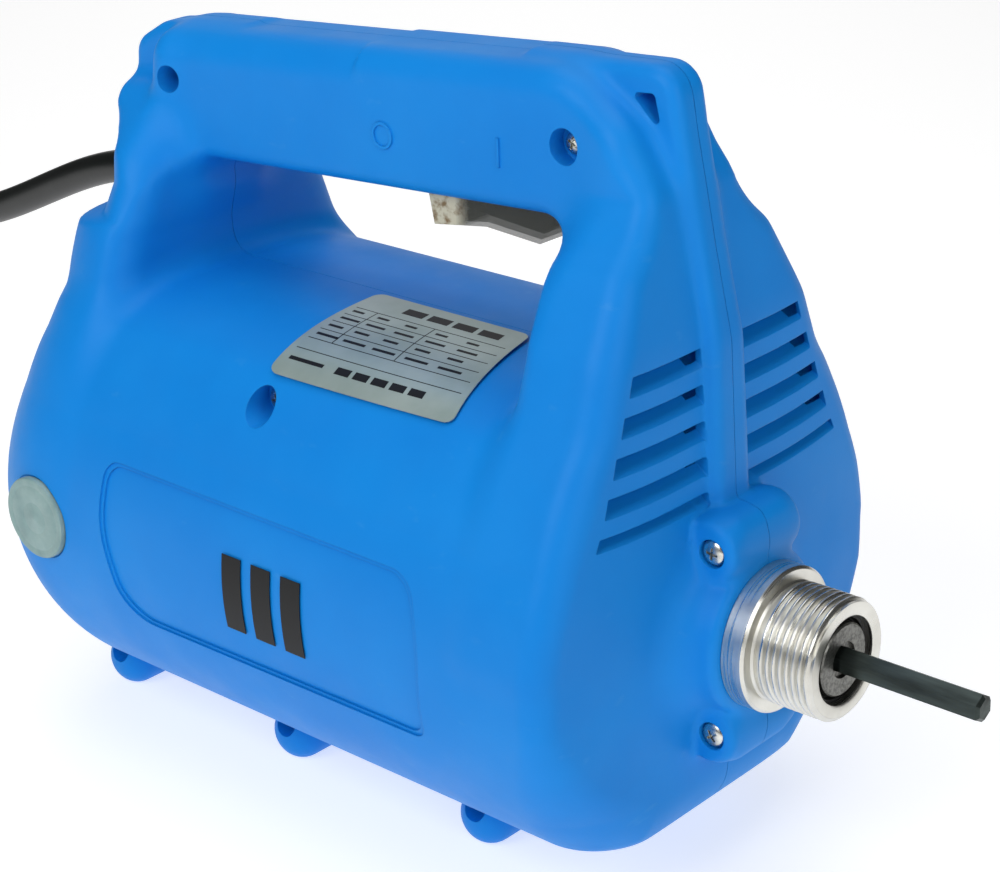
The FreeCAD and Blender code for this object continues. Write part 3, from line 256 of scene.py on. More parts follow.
def outline_distance(a, b, outline):
    """Distance from points (a, b) to a closed outline, negative inside."""
    shape = np.broadcast(a, b).shape
    inside = np.zeros(shape, bool)
    nearest = np.full(shape, np.inf)
    for (a0, b0), (a1, b1) in zip(outline, outline[1:] + outline[:1]):
        da, db = a1 - a0, b1 - b0
        along = np.clip(((a - a0) * da + (b - b0) * db) / (da * da + db * db), 0, 1)
        nearest = np.minimum(nearest, (a - a0 - along * da) ** 2 + (b - b0 - along * db) ** 2)
        if db:
            inside ^= ((b0 > b) != (b1 > b)) & (a < a0 + (b - b0) * da / db)
    return np.where(inside, -1, 1) * np.sqrt(nearest)


def common(a, b, radius):
    """Where both forms are, with its edges rounded to the radius."""
    corner = np.hypot(np.maximum(a + radius, 0), np.maximum(b + radius, 0))
    return np.minimum(-radius, np.maximum(a, b)) + corner


def joined(a, b, fillet):
    """Both forms together, with a soft fillet of about that radius where they meet."""
    near = np.maximum(fillet - np.abs(a - b), 0) / fillet
    return np.minimum(a, b) - near * near * fillet / 4


SILHOUETTE_LINE = rounded(SILHOUETTE)
WINDOW_LINE = rounded(WINDOW)
FLARE_GAP_LINE = rounded(FLARE_GAP)
WIDTH_LINE = rounded(WIDTH)
WIDTH_LINE = WIDTH_LINE + [(-a, b) for a, b in reversed(WIDTH_LINE)]
FRONT_FIN_LINE = rounded(FRONT_FIN)
REAR_FIN_LINE = rounded(REAR_FIN)


# ---------------------------------------------------------------- the casing's form

def barrel(y, z):
    """The round barrel with its flat top and bottom, without end."""
    shoulder = SHOULDER * np.clip((z - 40) / 30, 0, 1)
    round_part = np.hypot(y, z) - BARREL_RADIUS - shoulder
    return common(common(round_part, z - BARREL_TOP, FLAT_ROUND), -BARREL_BOTTOM - z, FLAT_ROUND)


def main_form(x, side, z):
    """Barrel, posts and handle without fins, nose and feet; side is the distance from the split plane."""
    posts = common(outline_distance(side, z, WIDTH_LINE), -outline_distance(x, z, FLARE_GAP_LINE), 14)
    posts = common(posts, POSTS_REAR - x, 40)
    grip = common(side - HANDLE_HALF, 100 - z, HANDLE_ROUND)
    rim = np.interp(z, *WINDOW_ROUND)
    posts = common(joined(posts, grip, POST_FILLET), -outline_distance(x, z, WINDOW_LINE), rim)
    rear = REAR_LEAN * np.clip(z / 90, 0, 1) ** 1.2 - BARREL_REAR
    tube = common(barrel(side, z), rear - x, REAR_ROUND)
    body = joined(posts, tube, POST_FILLET)
    # Away from the rib the front face falls back.
    fall_back = 0.0012 * np.maximum(side - 22, 0) ** 2 * np.clip((x + 90) / 60, 0, 1)
    silhouette = outline_distance(x + fall_back, z, SILHOUETTE_LINE)
    edge = np.where(x > MIDDLE_X, np.interp(z, *FRONT_ROUND), np.interp(z, *BACK_ROUND))
    return common(body, silhouette, edge)


def fins(x, side, z):
    """The narrow web in front of and behind the handle, and the rib down the front face."""
    half = np.interp(z, (60, 130), (RIB_FOOT_HALF, FIN_HALF))
    front = common(outline_distance(x, z, FRONT_FIN_LINE), side - half, FIN_ROUND)
    rear = common(outline_distance(x, z, REAR_FIN_LINE), side - FIN_HALF, FIN_ROUND)
    return np.minimum(front, rear)


def nose_form(x, side, z):
    """The block and boss that grip the coupling nose, and the lumps round its two screws."""
    block = common(common(side - BLOCK_HALF, np.abs(z) - BLOCK_HEIGHT, 5), x + BLOCK_FRONT, 4)
    block = np.maximum(block, NOSE_REAR - x)
    lump = common(np.hypot(x + 18, np.abs(z) - 32) - LUMP_RADIUS, side - LUMP_HALF, 2.5)
    boss = np.maximum(common(np.hypot(side, z) - BOSS_RADIUS, x + BOSS_FRONT, 3), NOSE_REAR - x)
    return joined(block, lump, 4), boss


def casing_form(x, y, z):
    """Distance to the outside of the whole casing before any hole is cut, negative inside."""
    side = np.abs(y)
    body = joined(main_form(x, side, z), fins(x, side, z), np.interp(z, *FIN_FILLET))
    block, boss = nose_form(x, side, z)
    body = joined(joined(body, boss, 14), block, 2.5)
    for foot_x in FEET_X:
        foot = common(np.hypot(x - foot_x, z + FOOT_AXIS) - FOOT_RADIUS, side - FOOT_HALF, FOOT_ROUND)
        body = joined(body, foot, 5)
    return body


def cavity_form(x, y, z):
    """The hollow inside: the main form less the wall, the solid behind louvres and nose, and the pillars."""
    side = np.abs(y)
    hollow = main_form(x, side, z) + WALL
    inner, half, middle, reach = FRONT_SOLID
    front_solid = np.maximum(np.maximum(inner - x, side - half), np.abs(z - middle) - reach)
    inner, half, middle, reach = REAR_SOLID
    rear_solid = np.maximum(np.maximum(x - inner, side - half), np.abs(z - middle) - reach)
    nose_solid = np.maximum(-37 - x, np.hypot(side, z) - 34)
    hollow = np.maximum(hollow, -np.minimum(np.minimum(front_solid, rear_solid), nose_solid))
    for pillar_x, pillar_z, *_ in PILLARS:
        hollow = np.maximum(hollow, PILLAR_RADIUS - np.hypot(x - pillar_x, z - pillar_z))
    return hollow


# ---------------------------------------------------------------- meshes

def surface(form, low, high, step):
    """Corners and faces of the surface form = 0 inside a box, with every corner moved onto the surface."""
    axes = [np.arange(a, b + step, step) for a, b in zip(low, high)]
    values = form(axes[0][:, None, None], axes[1][None, :, None], axes[2][None, None, :])
    cells = np.array(values.shape) - 1
    total = np.zeros((cells.prod(), 3))
    count = np.zeros(cells.prod())
    quads = []
    for axis in range(3):
        near = np.moveaxis(np.moveaxis(values, axis, 0)[:-1], 0, axis)
        far = np.moveaxis(np.moveaxis(values, axis, 0)[1:], 0, axis)
        edge = np.argwhere((near < 0) != (far < 0))
        start, end = near[tuple(edge.T)], far[tuple(edge.T)]
        crossing = edge.astype(float)
        crossing[:, axis] += start / (start - end)
        across, up = [k for k in range(3) if k != axis]
        inner = np.ones(len(edge), bool)
        for k in (across, up):
            inner &= (edge[:, k] > 0) & (edge[:, k] < cells[k])
        edge, crossing, rising = edge[inner], crossing[inner], start[inner] < 0
        around = []
        for step_across, step_up in ((0, 0), (-1, 0), (-1, -1), (0, -1)):
            cell = edge.copy()
            cell[:, across] += step_across
            cell[:, up] += step_up
            index = np.ravel_multi_index(tuple(cell.T), cells)
            for k in range(3):
                total[:, k] += np.bincount(index, crossing[:, k], len(total))
            count += np.bincount(index, minlength=len(count))
            around.append(index)
        quad = np.stack(around, 1)
        flip = rising if axis == 1 else ~rising
        quad[flip] = quad[flip][:, ::-1]
        quads.append(quad)
    used = np.flatnonzero(count)
    number = np.full(len(count), -1)
    number[used] = np.arange(len(used))
    points = total[used] / count[used][:, None] * step + np.array(low)
    return settle(form, points, 0.0, 0.5 * step), number[np.concatenate(quads)]


def slope_of(form, points):
    """The direction in which a form's distance grows fastest, at each point."""
    return np.stack([form(*(points + d).T) - form(*(points - d).T) for d in np.eye(3) * 0.05], 1) / 0.1


def settle(form, points, lift=0.0, limit=2.0):
    """Points moved along the slope until they stand the lift outside the form, in steps up to the limit."""
    for _ in range(4):
        slope = slope_of(form, points)
        here = form(*points.T) - lift
        move = slope * (here / np.maximum((slope * slope).sum(1), 0.2))[:, None]
        points = points - np.clip(move, -limit, limit)
    return points


def piece(name, points, faces):
    """A new mesh object from points in millimetres."""
    mesh = bpy.data.meshes.new(name)
    places = (np.asarray(points, float) * MM).tolist()
    mesh.from_pydata(places, [], [list(map(int, face)) for face in faces])
    obj = bpy.data.objects.new(name, mesh)
    bpy.context.scene.collection.objects.link(obj)
    return obj


def outward(obj):
    """Turns every face of a closed mesh outward."""
    mesh = bmesh.new()
    mesh.from_mesh(obj.data)
    bmesh.ops.recalc_face_normals(mesh, faces=mesh.faces)
    mesh.to_mesh(obj.data)
    mesh.free()
    return obj


def soften(obj, angle=38):
    """Smooth shading, with edges sharper than the angle left crisp."""
    obj.data.shade_smooth()
    obj.data.set_sharp_from_angle(angle=math.radians(angle))
    return obj


def merge(name, parts):
    """One object from several closed meshes given as (points, faces)."""
    points, faces = [], []
    for part_points, part_faces in parts:
        faces += [[len(points) + int(k) for k in face] for face in part_faces]
        points += [tuple(p) for p in part_points]
    return outward(piece(name, points, faces))


def loft(low, high):
    """The closed solid between two loops of equal length."""
    count = len(low)
    sides = [(k, (k + 1) % count, (k + 1) % count + count, k + count) for k in range(count)]
    return list(low) + list(high), [tuple(range(count))[::-1], tuple(range(count, 2 * count))] + sides


def prism_y(outline, y0, y1):
    """A prism along y over an outline of (x, z)."""
    return loft([(a, y0, b) for a, b in outline], [(a, y1, b) for a, b in outline])


def prism_x(outline, x0, x1, rise=0.0):
    """A prism along x over an outline of (y, z), raised by rise at its x1 end."""
    return loft([(x0, a, b) for a, b in outline], [(x1, a, b + rise) for a, b in outline])


def lathe(profile, centre=(0, 0, 0), axis="X", segments=96, wave=None):
    """A closed turned solid from a profile of (along, radius).

    The profile either starts and ends on the axis or runs round in a loop. The wave is a function of the
    place along the axis, the angle and the radius, and adds to the radius.
    """
    turned, faces, rings = [], [], []
    for along, radius in profile:
        if radius < 1e-6:
            rings.append([len(turned)])
            turned.append((along, 0.0, 0.0))
            continue
        rings.append(list(range(len(turned), len(turned) + segments)))
        for k in range(segments):
            angle = 2 * math.pi * k / segments
            r = radius + (wave(along, angle, radius) if wave else 0)
            turned.append((along, r * math.cos(angle), r * math.sin(angle)))
    closed = len(rings[0]) > 1
    pairs = list(zip(rings, rings[1:])) + ([(rings[-1], rings[0])] if closed else [])
    for one, two in pairs:
        for k in range(segments):
            n = (k + 1) % segments
            if len(one) == 1:
                faces.append((one[0], two[k], two[n]))
            elif len(two) == 1:
                faces.append((one[k], one[n], two[0]))
            else:
                faces.append((one[k], one[n], two[n], two[k]))
    spots = np.array(turned)
    if axis == "Y":
        spots = spots[:, [1, 0, 2]]
    return (spots + np.array(centre)).tolist(), faces


def cylinder_y(x, z, radius, y0, y1, segments=48):
    """A closed cylinder along y."""
    angles = [2 * math.pi * k / segments for k in range(segments)]
    ring = [(x + radius * math.cos(angle), z + radius * math.sin(angle)) for angle in angles]
    return prism_y(ring, y0, y1)


def box_outline(rear, front, bottom, top):
    """The four corners of an upright rectangle."""
    return [(rear, bottom), (front, bottom), (front, top), (rear, top)]


def carve(target, parts, operation="DIFFERENCE"):
    """Cuts the parts from the target, adds them (UNION) or keeps only what is inside them (INTERSECT)."""
    cutter = merge("cutter", parts)
    modifier = target.modifiers.new("carve", "BOOLEAN")
    modifier.operation = operation
    modifier.solver = "MANIFOLD"
    modifier.object = cutter
    graph = bpy.context.evaluated_depsgraph_get()
    result = bpy.data.meshes.new_from_object(target.evaluated_get(graph))
    before = len(target.data.vertices)
    if len(result.vertices) in (0, before):
        print("WARNING: boolean changed nothing on", target.name, operation, len(parts))
    target.modifiers.clear()
    old = target.data
    target.data = result
    bpy.data.meshes.remove(old)
    bpy.data.objects.remove(cutter)


# ---------------------------------------------------------------- half shells

def vent_outline(i, side, reach=VENT_REACH, spread=VENT_SPREAD):
    """Outline (y, z) of louvre i, counted from the top, on one side of the rib."""
    high = VENT_TOP - VENT_PITCH * i
    low = high - (LAST_VENT_HEIGHT if i == VENT_COUNT - 1 else VENT_HEIGHT)
    outer = reach + spread * i
    corners = ((VENT_INNER, low, 0.4), (VENT_INNER, high, 0.4), (outer, high, 0.4), (outer + 2, low, 0.4))
    return [(side * a, b) for a, b in rounded(corners, 3)]


def louvres(side):
    """Cutters of the front louvres: slots that rise inward, and the air duct behind their +y ends."""
    outlines = [[(y, z - VENT_DROP) for y, z in vent_outline(i, side)] for i in range(VENT_COUNT)]
    slots = [prism_x(outline, VENT_FRONT, VENT_BACK, VENT_RISE) for outline in outlines]
    end = -VENT_INNER if side < 0 else VENT_REACH
    spread = 0 if side < 0 else VENT_SPREAD * (VENT_COUNT - 1)
    inner, outer = end - DUCT_INNER, end + DUCT_OUTER
    top = VENT_TOP + 3
    bottom = VENT_TOP - VENT_PITCH * (VENT_COUNT - 1) - 8
    channel = [(inner, top), (outer, top), (outer + spread, bottom), (inner + spread, bottom)]
    return slots, [prism_x(channel, DUCT_FRONT, DUCT_BACK)]


def rear_louvres(side):
    """Cutters of the intake louvres in the rear face."""
    outlines = [vent_outline(i, side, REAR_VENT_REACH, 0) for i in range(VENT_COUNT)]
    lowered = [[(y, z - REAR_VENT_DROP) for y, z in outline] for outline in outlines]
    return [prism_x(outline, REAR_VENT_OUTSIDE, REAR_VENT_INSIDE, REAR_VENT_RISE) for outline in lowered]


def panel_recess(side, inset, depth):
    """Cutter of the side panel: the part of a prism that lies outside a slightly smaller barrel."""
    corners = [(x + math.copysign(inset, -150 - x), z - math.copysign(inset, z), r) for x, z, r in PANEL]
    bed = merge("panel_cutter", [prism_y(rounded(corners, 10), side * 60, side * 95)])
    floor = BARREL_RADIUS - depth
    carve(bed, [lathe([(-300, 0), (-300, floor), (0, floor), (0, 0)], segments=180)])
    points = [tuple(v.co / MM) for v in bed.data.vertices]
    faces = [tuple(p.vertices) for p in bed.data.polygons]
    bpy.data.objects.remove(bed)
    return points, faces


def left_counterbores():
    """Screw recesses, all on the left shell."""
    return [cylinder_y(x, z, recess, -seat, -120) for x, z, seat, _, recess in SCREWS]


def raise_signs(shell):
    """The O and I signs of the switch, raised on the side of the handle."""
    centre_x, centre_z = SIGN_O
    angles = np.linspace(0, 2 * math.pi, 40, False)
    ring, hole = [[(centre_x + radius * math.cos(t), centre_z + radius * math.sin(t)) for t in angles]
                  for radius in (SIGN_O_RADIUS, SIGN_O_RADIUS * SIGN_O_BORE)]
    top = -HANDLE_HALF - SIGN_DEPTH
    carve(shell, [prism_y(ring, -16, top), prism_y(box_outline(*SIGN_I), -16, top)], "UNION")
    carve(shell, [prism_y(hole, -HANDLE_HALF - 0.02, -22)])


def half_shell(name, form, cavity, side):
    """One half of the casing, on the +y side when side is 1 and on the -y side when side is -1."""
    points, faces = form
    shell = piece(name, points * (1, side, 1), faces if side > 0 else faces[:, ::-1])
    hollow = (cavity[0] * (1, side, 1), cavity[1] if side > 0 else cavity[1][:, ::-1])
    carve(shell, [hollow])
    if side < 0:
        raise_signs(shell)
    for cutters in (*louvres(side), rear_louvres(side)):
        carve(shell, cutters)
    for inset, depth in PANEL_STEPS:
        carve(shell, [panel_recess(side, inset, depth)])
    carve(shell, [cylinder_y(CAP_X, 0, CAP_RADIUS + 0.5, side * CAP_SEAT, side * 100, 96)])
    carve(shell, [cylinder_y(CAP_X, 0, CAP_BORE, side * 60, side * 90, 96)])
    if side < 0:
        carve(shell, left_counterbores())
    slot = box_outline(*SWITCH_SLOT)
    carve(shell, [prism_y(rounded(LANYARD_HOLE, 5), -30, 30), prism_y(slot, -SWITCH_HALF, SWITCH_HALF)])
    nose_seat = [(10, 0), (10, 21.1), (-16.4, 21.1), (-16.4, 27.7), (NOSE_REAR, 27.7), (NOSE_REAR, 0)]
    carve(shell, [lathe(nose_seat)])
    cable_way = [(-330, 0), (-330, CABLE_HOLE), (-262, CABLE_HOLE), (-262, 0)]
    carve(shell, [lathe(cable_way, (0, 0, CABLE_Z), segments=64)])
    keep = box_outline(-400, 50, -200, 260)
    carve(shell, [prism_y(keep, side * SPLIT_GAP, side * FAR)], "INTERSECT")
    soften(shell)
    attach(shell, "housing")
    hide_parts(name.replace("_moulding", ""))
    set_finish(shell, "casing")
    return shell


def half_shells():
    """Both halves of the casing, mirror images but for the holes cut in them."""
    def closed(form, past):
        """The +y half of a form, carried a little past the split plane so that it can be trimmed exactly."""
        return lambda x, y, z: np.maximum(form(x, y, z), -past - y)

    form = surface(closed(casing_form, 2), (-316, -4.1, -98), (2, 92, 186), GRID)
    cavity = surface(closed(cavity_form, 4), (-316, -8.1, -90), (-10, 92, 182), CAVITY_GRID)
    return [half_shell("left_shell_moulding", form, cavity, -1),
            half_shell("right_shell_moulding", form, cavity, 1)]


# ---------------------------------------------------------------- nose, screws, caps and label

def thread(along, angle, radius):
    """The thread's groove, as a change to the spigot's radius; it fades out towards the flange."""
    inside = THREAD_START < along < THREAD_END and radius > THREAD_CREST - 1.5
    if not inside:
        return 0.0
    turn = (along / THREAD_PITCH - angle / (2 * math.pi)) % 1
    flank = min(1.0, 1.35 * abs(2 * turn - 1))
    fade = min(1.0, (along - THREAD_START) / 1.2)
    return -THREAD_DEPTH * (1 - flank) * fade


def threaded_nose():
    """The turned aluminium nose with a real helical thread on its spigot."""
    steps = np.arange(THREAD_START, THREAD_END - 0.9, 0.24)
    profile = [(-34, 20), (-34, 27.3), (-33.6, 27.5), (-16.35, 27.5), (-16.35, 21), (-8.35, 21)]
    profile += [(-8.35, 23.7), (-7.95, 24.1), (-0.9, 24.1), (0, 23.2), (0, 19.9), (0.7, 19.2), (2.7, 19.2)]
    profile += [(step, THREAD_CREST) for step in steps]
    profile += [(THREAD_END - 0.1, THREAD_CREST - 0.9), (THREAD_END, THREAD_CREST - 1.4), (THREAD_END, 15.3)]
    profile += [(THREAD_END - 0.5, 14.6), (-16, 14.6), (-16, 17), (-18, 17), (-18, 20), (-30, 20)]
    profile += [(-30.01, 21.4), (-31.6, 21.4), (-31.61, 20)]
    nose = merge("threaded_nose", [lathe(profile, segments=144, wave=thread)])
    return finished(nose, "housing", "nose_aluminium", "coupling_nose")


def screw(x, z, seat, radius, turn):
    """One pan head screw along y: head, shank and the cutter of its cross recess."""
    top = seat + HEAD_HEIGHT
    rise = 0.42 * radius
    angles = np.linspace(0, math.pi / 2, 8)
    dome = [(-top + rise * (1 - math.cos(t)), radius * math.sin(t)) for t in angles]
    dome += [(-seat - 0.3, radius), (-seat, radius - 0.2)]
    shank = [(-seat, SHANK_RADIUS), (SHANK_END - 0.6, SHANK_RADIUS), (SHANK_END, 1.2), (SHANK_END, 0)]
    arm = ((CROSS_REACH, -CROSS_HALF), (CROSS_REACH, CROSS_HALF), (CROSS_HALF, CROSS_HALF))
    cross = []
    for quarter in range(4):
        angle = turn + quarter * math.pi / 2
        cosine, sine = math.cos(angle), math.sin(angle)
        cross += [(x + a * cosine - b * sine, z + a * sine + b * cosine) for a, b in arm]
    return lathe(dome + shank, (x, 0, z), "Y", 40), prism_y(cross, -top - 1, -top + 1.5)


def screw_set():
    """The eight casing screws, each with its cross turned another way."""
    made = [screw(x, z, seat, radius, 0.4 + 0.7 * i) for i, (x, z, seat, radius, _) in enumerate(SCREWS)]
    bodies, crosses = zip(*made)
    screws = merge("screw_set", bodies)
    carve(screws, crosses)
    return finished(screws, "housing", "zinc_steel", "casing_screws")


def brush_cap(name, side):
    """Moulded cap with a rounded rim, two faint rings and a gate mark."""
    profile = [(76.1, 0), (76.1, 9.6), (76.5, 10), (86.0, 10), (86.0, 14.6), (86.5, 15.2), (88.2, 15.2)]
    profile += [(88.8, 14.9), (89.0, 14.3), (88.95, 13.0), (88.8, 12.5), (88.8, 12.0), (88.95, 11.5)]
    profile += [(88.95, 6.4), (88.85, 6.1), (88.85, 5.8), (88.95, 5.5), (88.95, 1.3), (89.1, 1.0), (89.1, 0)]
    turned = [(side * along, radius) for along, radius in profile]
    cap = merge(f"cap_moulding_{name}", [lathe(turned, (CAP_X, 0, 0), "Y", 96)])
    return finished(cap, f"cap_{name}", "cap_plastic", f"brush_cap_{name}")


def brush_spring(name, side):
    """A coil of wire behind the brush, built at one fixed length; the real spring shortens as the brush
    slides out.
    """
    steps, sides = 24 * SPRING_TURNS, 8
    inner, outer = SPRING_ENDS
    start, length = inner + SPRING_WIRE, outer - inner - 2 * SPRING_WIRE
    points = []
    for t in np.linspace(0, 1, steps + 1):
        turn = 2 * math.pi * SPRING_TURNS * t
        for k in range(sides):
            around = 2 * math.pi * k / sides
            radius = SPRING_RADIUS + SPRING_WIRE * math.cos(around)
            along = start + length * t + SPRING_WIRE * math.sin(around)
            points.append((CAP_X + radius * math.cos(turn), side * along, radius * math.sin(turn)))
    faces = [tuple(range(sides)), tuple(range(steps * sides, (steps + 1) * sides))]
    for i in range(steps):
        for k in range(sides):
            n = (k + 1) % sides
            faces.append((i * sides + k, i * sides + n, (i + 1) * sides + n, (i + 1) * sides + k))
    spring = merge(f"spring_coil_{name}", [(points, faces)])
    finished(spring, "housing", "spring_steel", f"brush_spring_{name}")
    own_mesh(spring)
    return spring


def label_grid():
    """Places and outward directions on the casing under the label.

    There is one row per millimetre down and one column per millimetre forward. The columns drift forward on
    their way down, the front ones most, where the sheet climbs the foot of the front post.
    """
    x = np.arange(LABEL_LENGTH + 1.0) + LABEL_REAR
    row = np.stack([x, np.full(len(x), LABEL_TOP), np.full(len(x), BARREL_TOP + 1)], 1)
    flare = np.linspace(0.03, 0.25, len(x))
    rows, normals = [], []
    for _ in range(LABEL_DEPTH + 1):
        row = settle(casing_form, row, 1.0)
        normal = slope_of(casing_form, row)
        normal /= np.linalg.norm(normal, axis=1)[:, None]
        rows.append(row)
        normals.append(normal)
        down = np.stack([flare, -normal[:, 2], normal[:, 1]], 1)
        row = row + down / np.linalg.norm(down, axis=1)[:, None]
    return np.array(rows), np.array(normals)


def sheet(grid, left, right, top, bottom, low, high, corner=0.0):
    """A thin closed patch of the label.

    Its edges are in millimetres from the label's upper rear corner; low and high are how far its two faces
    stand off the casing.
    """
    places, normals = grid
    down = np.linspace(top, bottom, max(2, int(bottom - top) + 1))
    if corner:
        ends = corner * (1 - np.cos(np.linspace(0, math.pi / 2, 6)))
        middle = np.arange(top + corner, bottom - corner, 1.0)
        down = np.concatenate([top + ends[:-1], middle, (bottom - ends)[::-1]])
    columns = max(2, int(right - left) + 1)
    layers = []
    for lift in (low, high):
        layer = []
        for v in down:
            depth = max(corner - min(v - top, bottom - v), 0.0)
            inset = corner - math.sqrt(max(corner * corner - depth * depth, 0.0))
            across = np.linspace(left + inset, right - inset, columns)
            layer.append([between(places, v, u) + lift * between(normals, v, u) for u in across])
        layers.append(np.array(layer))
    return slab(*layers)


def between(table, row, column):
    """The value of a table between its whole rows and columns."""
    i = min(int(row), table.shape[0] - 2)
    j = min(int(column), table.shape[1] - 2)
    a, b = row - i, column - j
    return ((1 - a) * ((1 - b) * table[i, j] + b * table[i, j + 1])
            + a * ((1 - b) * table[i + 1, j] + b * table[i + 1, j + 1]))


def slab(low, high):
    """The closed solid between two grids of points."""
    rows, columns = low.shape[:2]
    total = rows * columns

    def index(i, j, layer):
        return layer * total + i * columns + j

    faces = []
    for i in range(rows - 1):
        for j in range(columns - 1):
            for layer in (0, 1):
                faces.append(tuple(index(i + a, j + b, layer) for a, b in ((0, 0), (0, 1), (1, 1), (1, 0))))
    rim = [(0, j) for j in range(columns)] + [(i, columns - 1) for i in range(1, rows)]
    rim += [(rows - 1, j) for j in range(columns - 2, -1, -1)] + [(i, 0) for i in range(rows - 2, 0, -1)]
    for (a, b), (c, d) in zip(rim, rim[1:] + rim[:1]):
        faces.append((index(a, b, 0), index(c, d, 0), index(c, d, 1), index(a, b, 1)))
    return np.concatenate([low.reshape(-1, 3), high.reshape(-1, 3)]).tolist(), faces


def label():
    """The foil rating label, bent over the shoulder, and its blank generic print: bars, rules and dashes."""
    grid = label_grid()
    foil = merge("label_foil", [sheet(grid, 0, LABEL_LENGTH, 0, LABEL_DEPTH, *FOIL, LABEL_CORNER)])
    finished(foil, "housing", "plate_foil", "data_plate")
    # Marks as left, right, top and bottom edge.
    marks = [(19 + 11 * i, 28 + 11 * i, 5.5, 10.0) for i in range(4)]
    marks += [(2.5, LABEL_LENGTH - 2.5, v, v + 0.35) for v in (14, 20, 26, 32, 38, 44)]
    marks += [(u, u + 0.35, 14, 38) for u in (12, 37)]
    for row in range(4):
        for column, start in enumerate((3.5, 14.5, 26.5, 39.5, 52.5)):
            length = 5 + (row * 3 + column * 5) % 5
            marks.append((start, start + length, 16.4 + 6 * row, 17.7 + 6 * row))
    marks += [(3.5, 17, 48.4, 50.0)] + [(22 + 7 * i, 27.5 + 7 * i, 47.6, 50.8) for i in range(5)]
    prints = [sheet(grid, *mark, *PRINT) for mark in marks]
    printed = merge("label_print", prints)
    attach(printed, "housing")
    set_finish(printed, "badge_print")
    soften(printed)
    return [foil, printed]


def finished(obj, body, slot, *nodes):
    """Shades a new piece, fixes it to its body and lets it stand for its CAD nodes."""
    soften(obj)
    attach(obj, body)
    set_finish(obj, slot)
    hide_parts(*nodes)
    return obj


# ---------------------------------------------------------------- materials

def linear(red, green, blue):
    """A display colour of 0 to 255 as linear light, opaque."""
    shares = [c / 255 for c in (red, green, blue)]
    return (*(((c + 0.055) / 1.055) ** 2.4 if c > 10 / 255 else c / 12.92 for c in shares), 1.0)


class Finish:
    """A node material built round one Principled shader, with places in the object's own metres."""

    def __init__(self, name, colour, roughness, **inputs):
        self.material = bpy.data.materials.new(name)
        self.material.use_nodes = True
        self.tree = self.material.node_tree
        self.shader = self.tree.nodes["Principled BSDF"]
        self.place = self.tree.nodes.new("ShaderNodeTexCoord").outputs["Object"]
        self.set("Base Color", colour)
        self.set("Roughness", roughness)
        for key, value in inputs.items():
            self.set(key.replace("_", " "), value)

    def set(self, key, value):
        self.connect(self.shader.inputs[key], value)

    def connect(self, socket, value):
        if isinstance(value, bpy.types.NodeSocket):
            self.tree.links.new(value, socket)
        else:
            socket.default_value = value

    def node(self, kind, output, inputs, **properties):
        node = self.tree.nodes.new("ShaderNode" + kind)
        for key, value in properties.items():
            setattr(node, key, value)
        for key, value in inputs.items():
            self.connect(node.inputs[key], value)
        return node.outputs[output]

    def stretched(self, stretch):
        return self.node("Mapping", "Vector", {"Vector": self.place, "Scale": stretch})

    def noise(self, scale, detail=3.0, stretch=None, roughness=0.55):
        place = self.stretched(stretch) if stretch else self.place
        return self.node("TexNoise", "Fac", {"Vector": place, "Scale": scale, "Detail": detail,
                                             "Roughness": roughness})

    def scaled(self, value, low, high, to_low, to_high):
        return self.node("MapRange", "Result", {"Value": value, "From Min": low, "From Max": high,
                                                "To Min": to_low, "To Max": to_high})

    def mixed(self, factor, one, two):
        node = self.tree.nodes.new("ShaderNodeMix")
        node.data_type = "RGBA"
        self.connect(node.inputs[0], factor)
        self.connect(node.inputs[6], one)
        self.connect(node.inputs[7], two)
        return node.outputs[2]

    def bump(self, height, distance, strength=1.0, normal=None):
        inputs = {"Height": height, "Distance": distance, "Strength": strength}
        if normal:
            inputs["Normal"] = normal
        self.set("Normal", self.node("Bump", "Normal", inputs))

    def bevelled(self, radius, samples=4):
        return self.node("Bevel", "Normal", {"Radius": radius * MM}, samples=samples)


def casing_finish():
    """Blue moulded plastic with a fine spark-eroded texture, slight mottling and rubbed edges."""
    finish = Finish("casing_blue", linear(4, 126, 220), 0.45, IOR=1.42)
    mottle = finish.scaled(finish.noise(14, 4), 0.35, 0.65, 0, 1)
    base = finish.mixed(mottle, linear(12, 127, 214), linear(15, 134, 220))
    scuffs = finish.scaled(finish.noise(60, 6, (1, 1, 2.2)), 0.66, 0.78, 0, 0.16)
    base = finish.mixed(scuffs, base, linear(96, 170, 222))
    finish.set("Base Color", base)
    finish.set("Specular IOR Level", 0.2)
    grain = finish.noise(1500, 2)
    finish.set("Roughness", finish.scaled(finish.noise(45, 5), 0.3, 0.7, 0.40, 0.52))
    finish.bump(grain, 0.00006, 0.55, finish.bevelled(0.45))
    return finish.material


def aluminium_finish():
    """Turned aluminium: fine rings round the x axis, with brighter and duller patches."""
    finish = Finish("turned_aluminium", linear(214, 212, 205), 0.3, Metallic=1.0)
    rings = finish.noise(1400, 2, (1, 0.02, 0.02))
    patches = finish.scaled(finish.noise(55, 4), 0.35, 0.7, 0, 1)
    finish.set("Base Color", finish.mixed(patches, linear(222, 221, 214), linear(200, 198, 190)))
    finish.set("Roughness", finish.scaled(rings, 0.3, 0.7, 0.2, 0.42))
    finish.bump(rings, 0.00002, 0.4, finish.bevelled(0.15))
    return finish.material


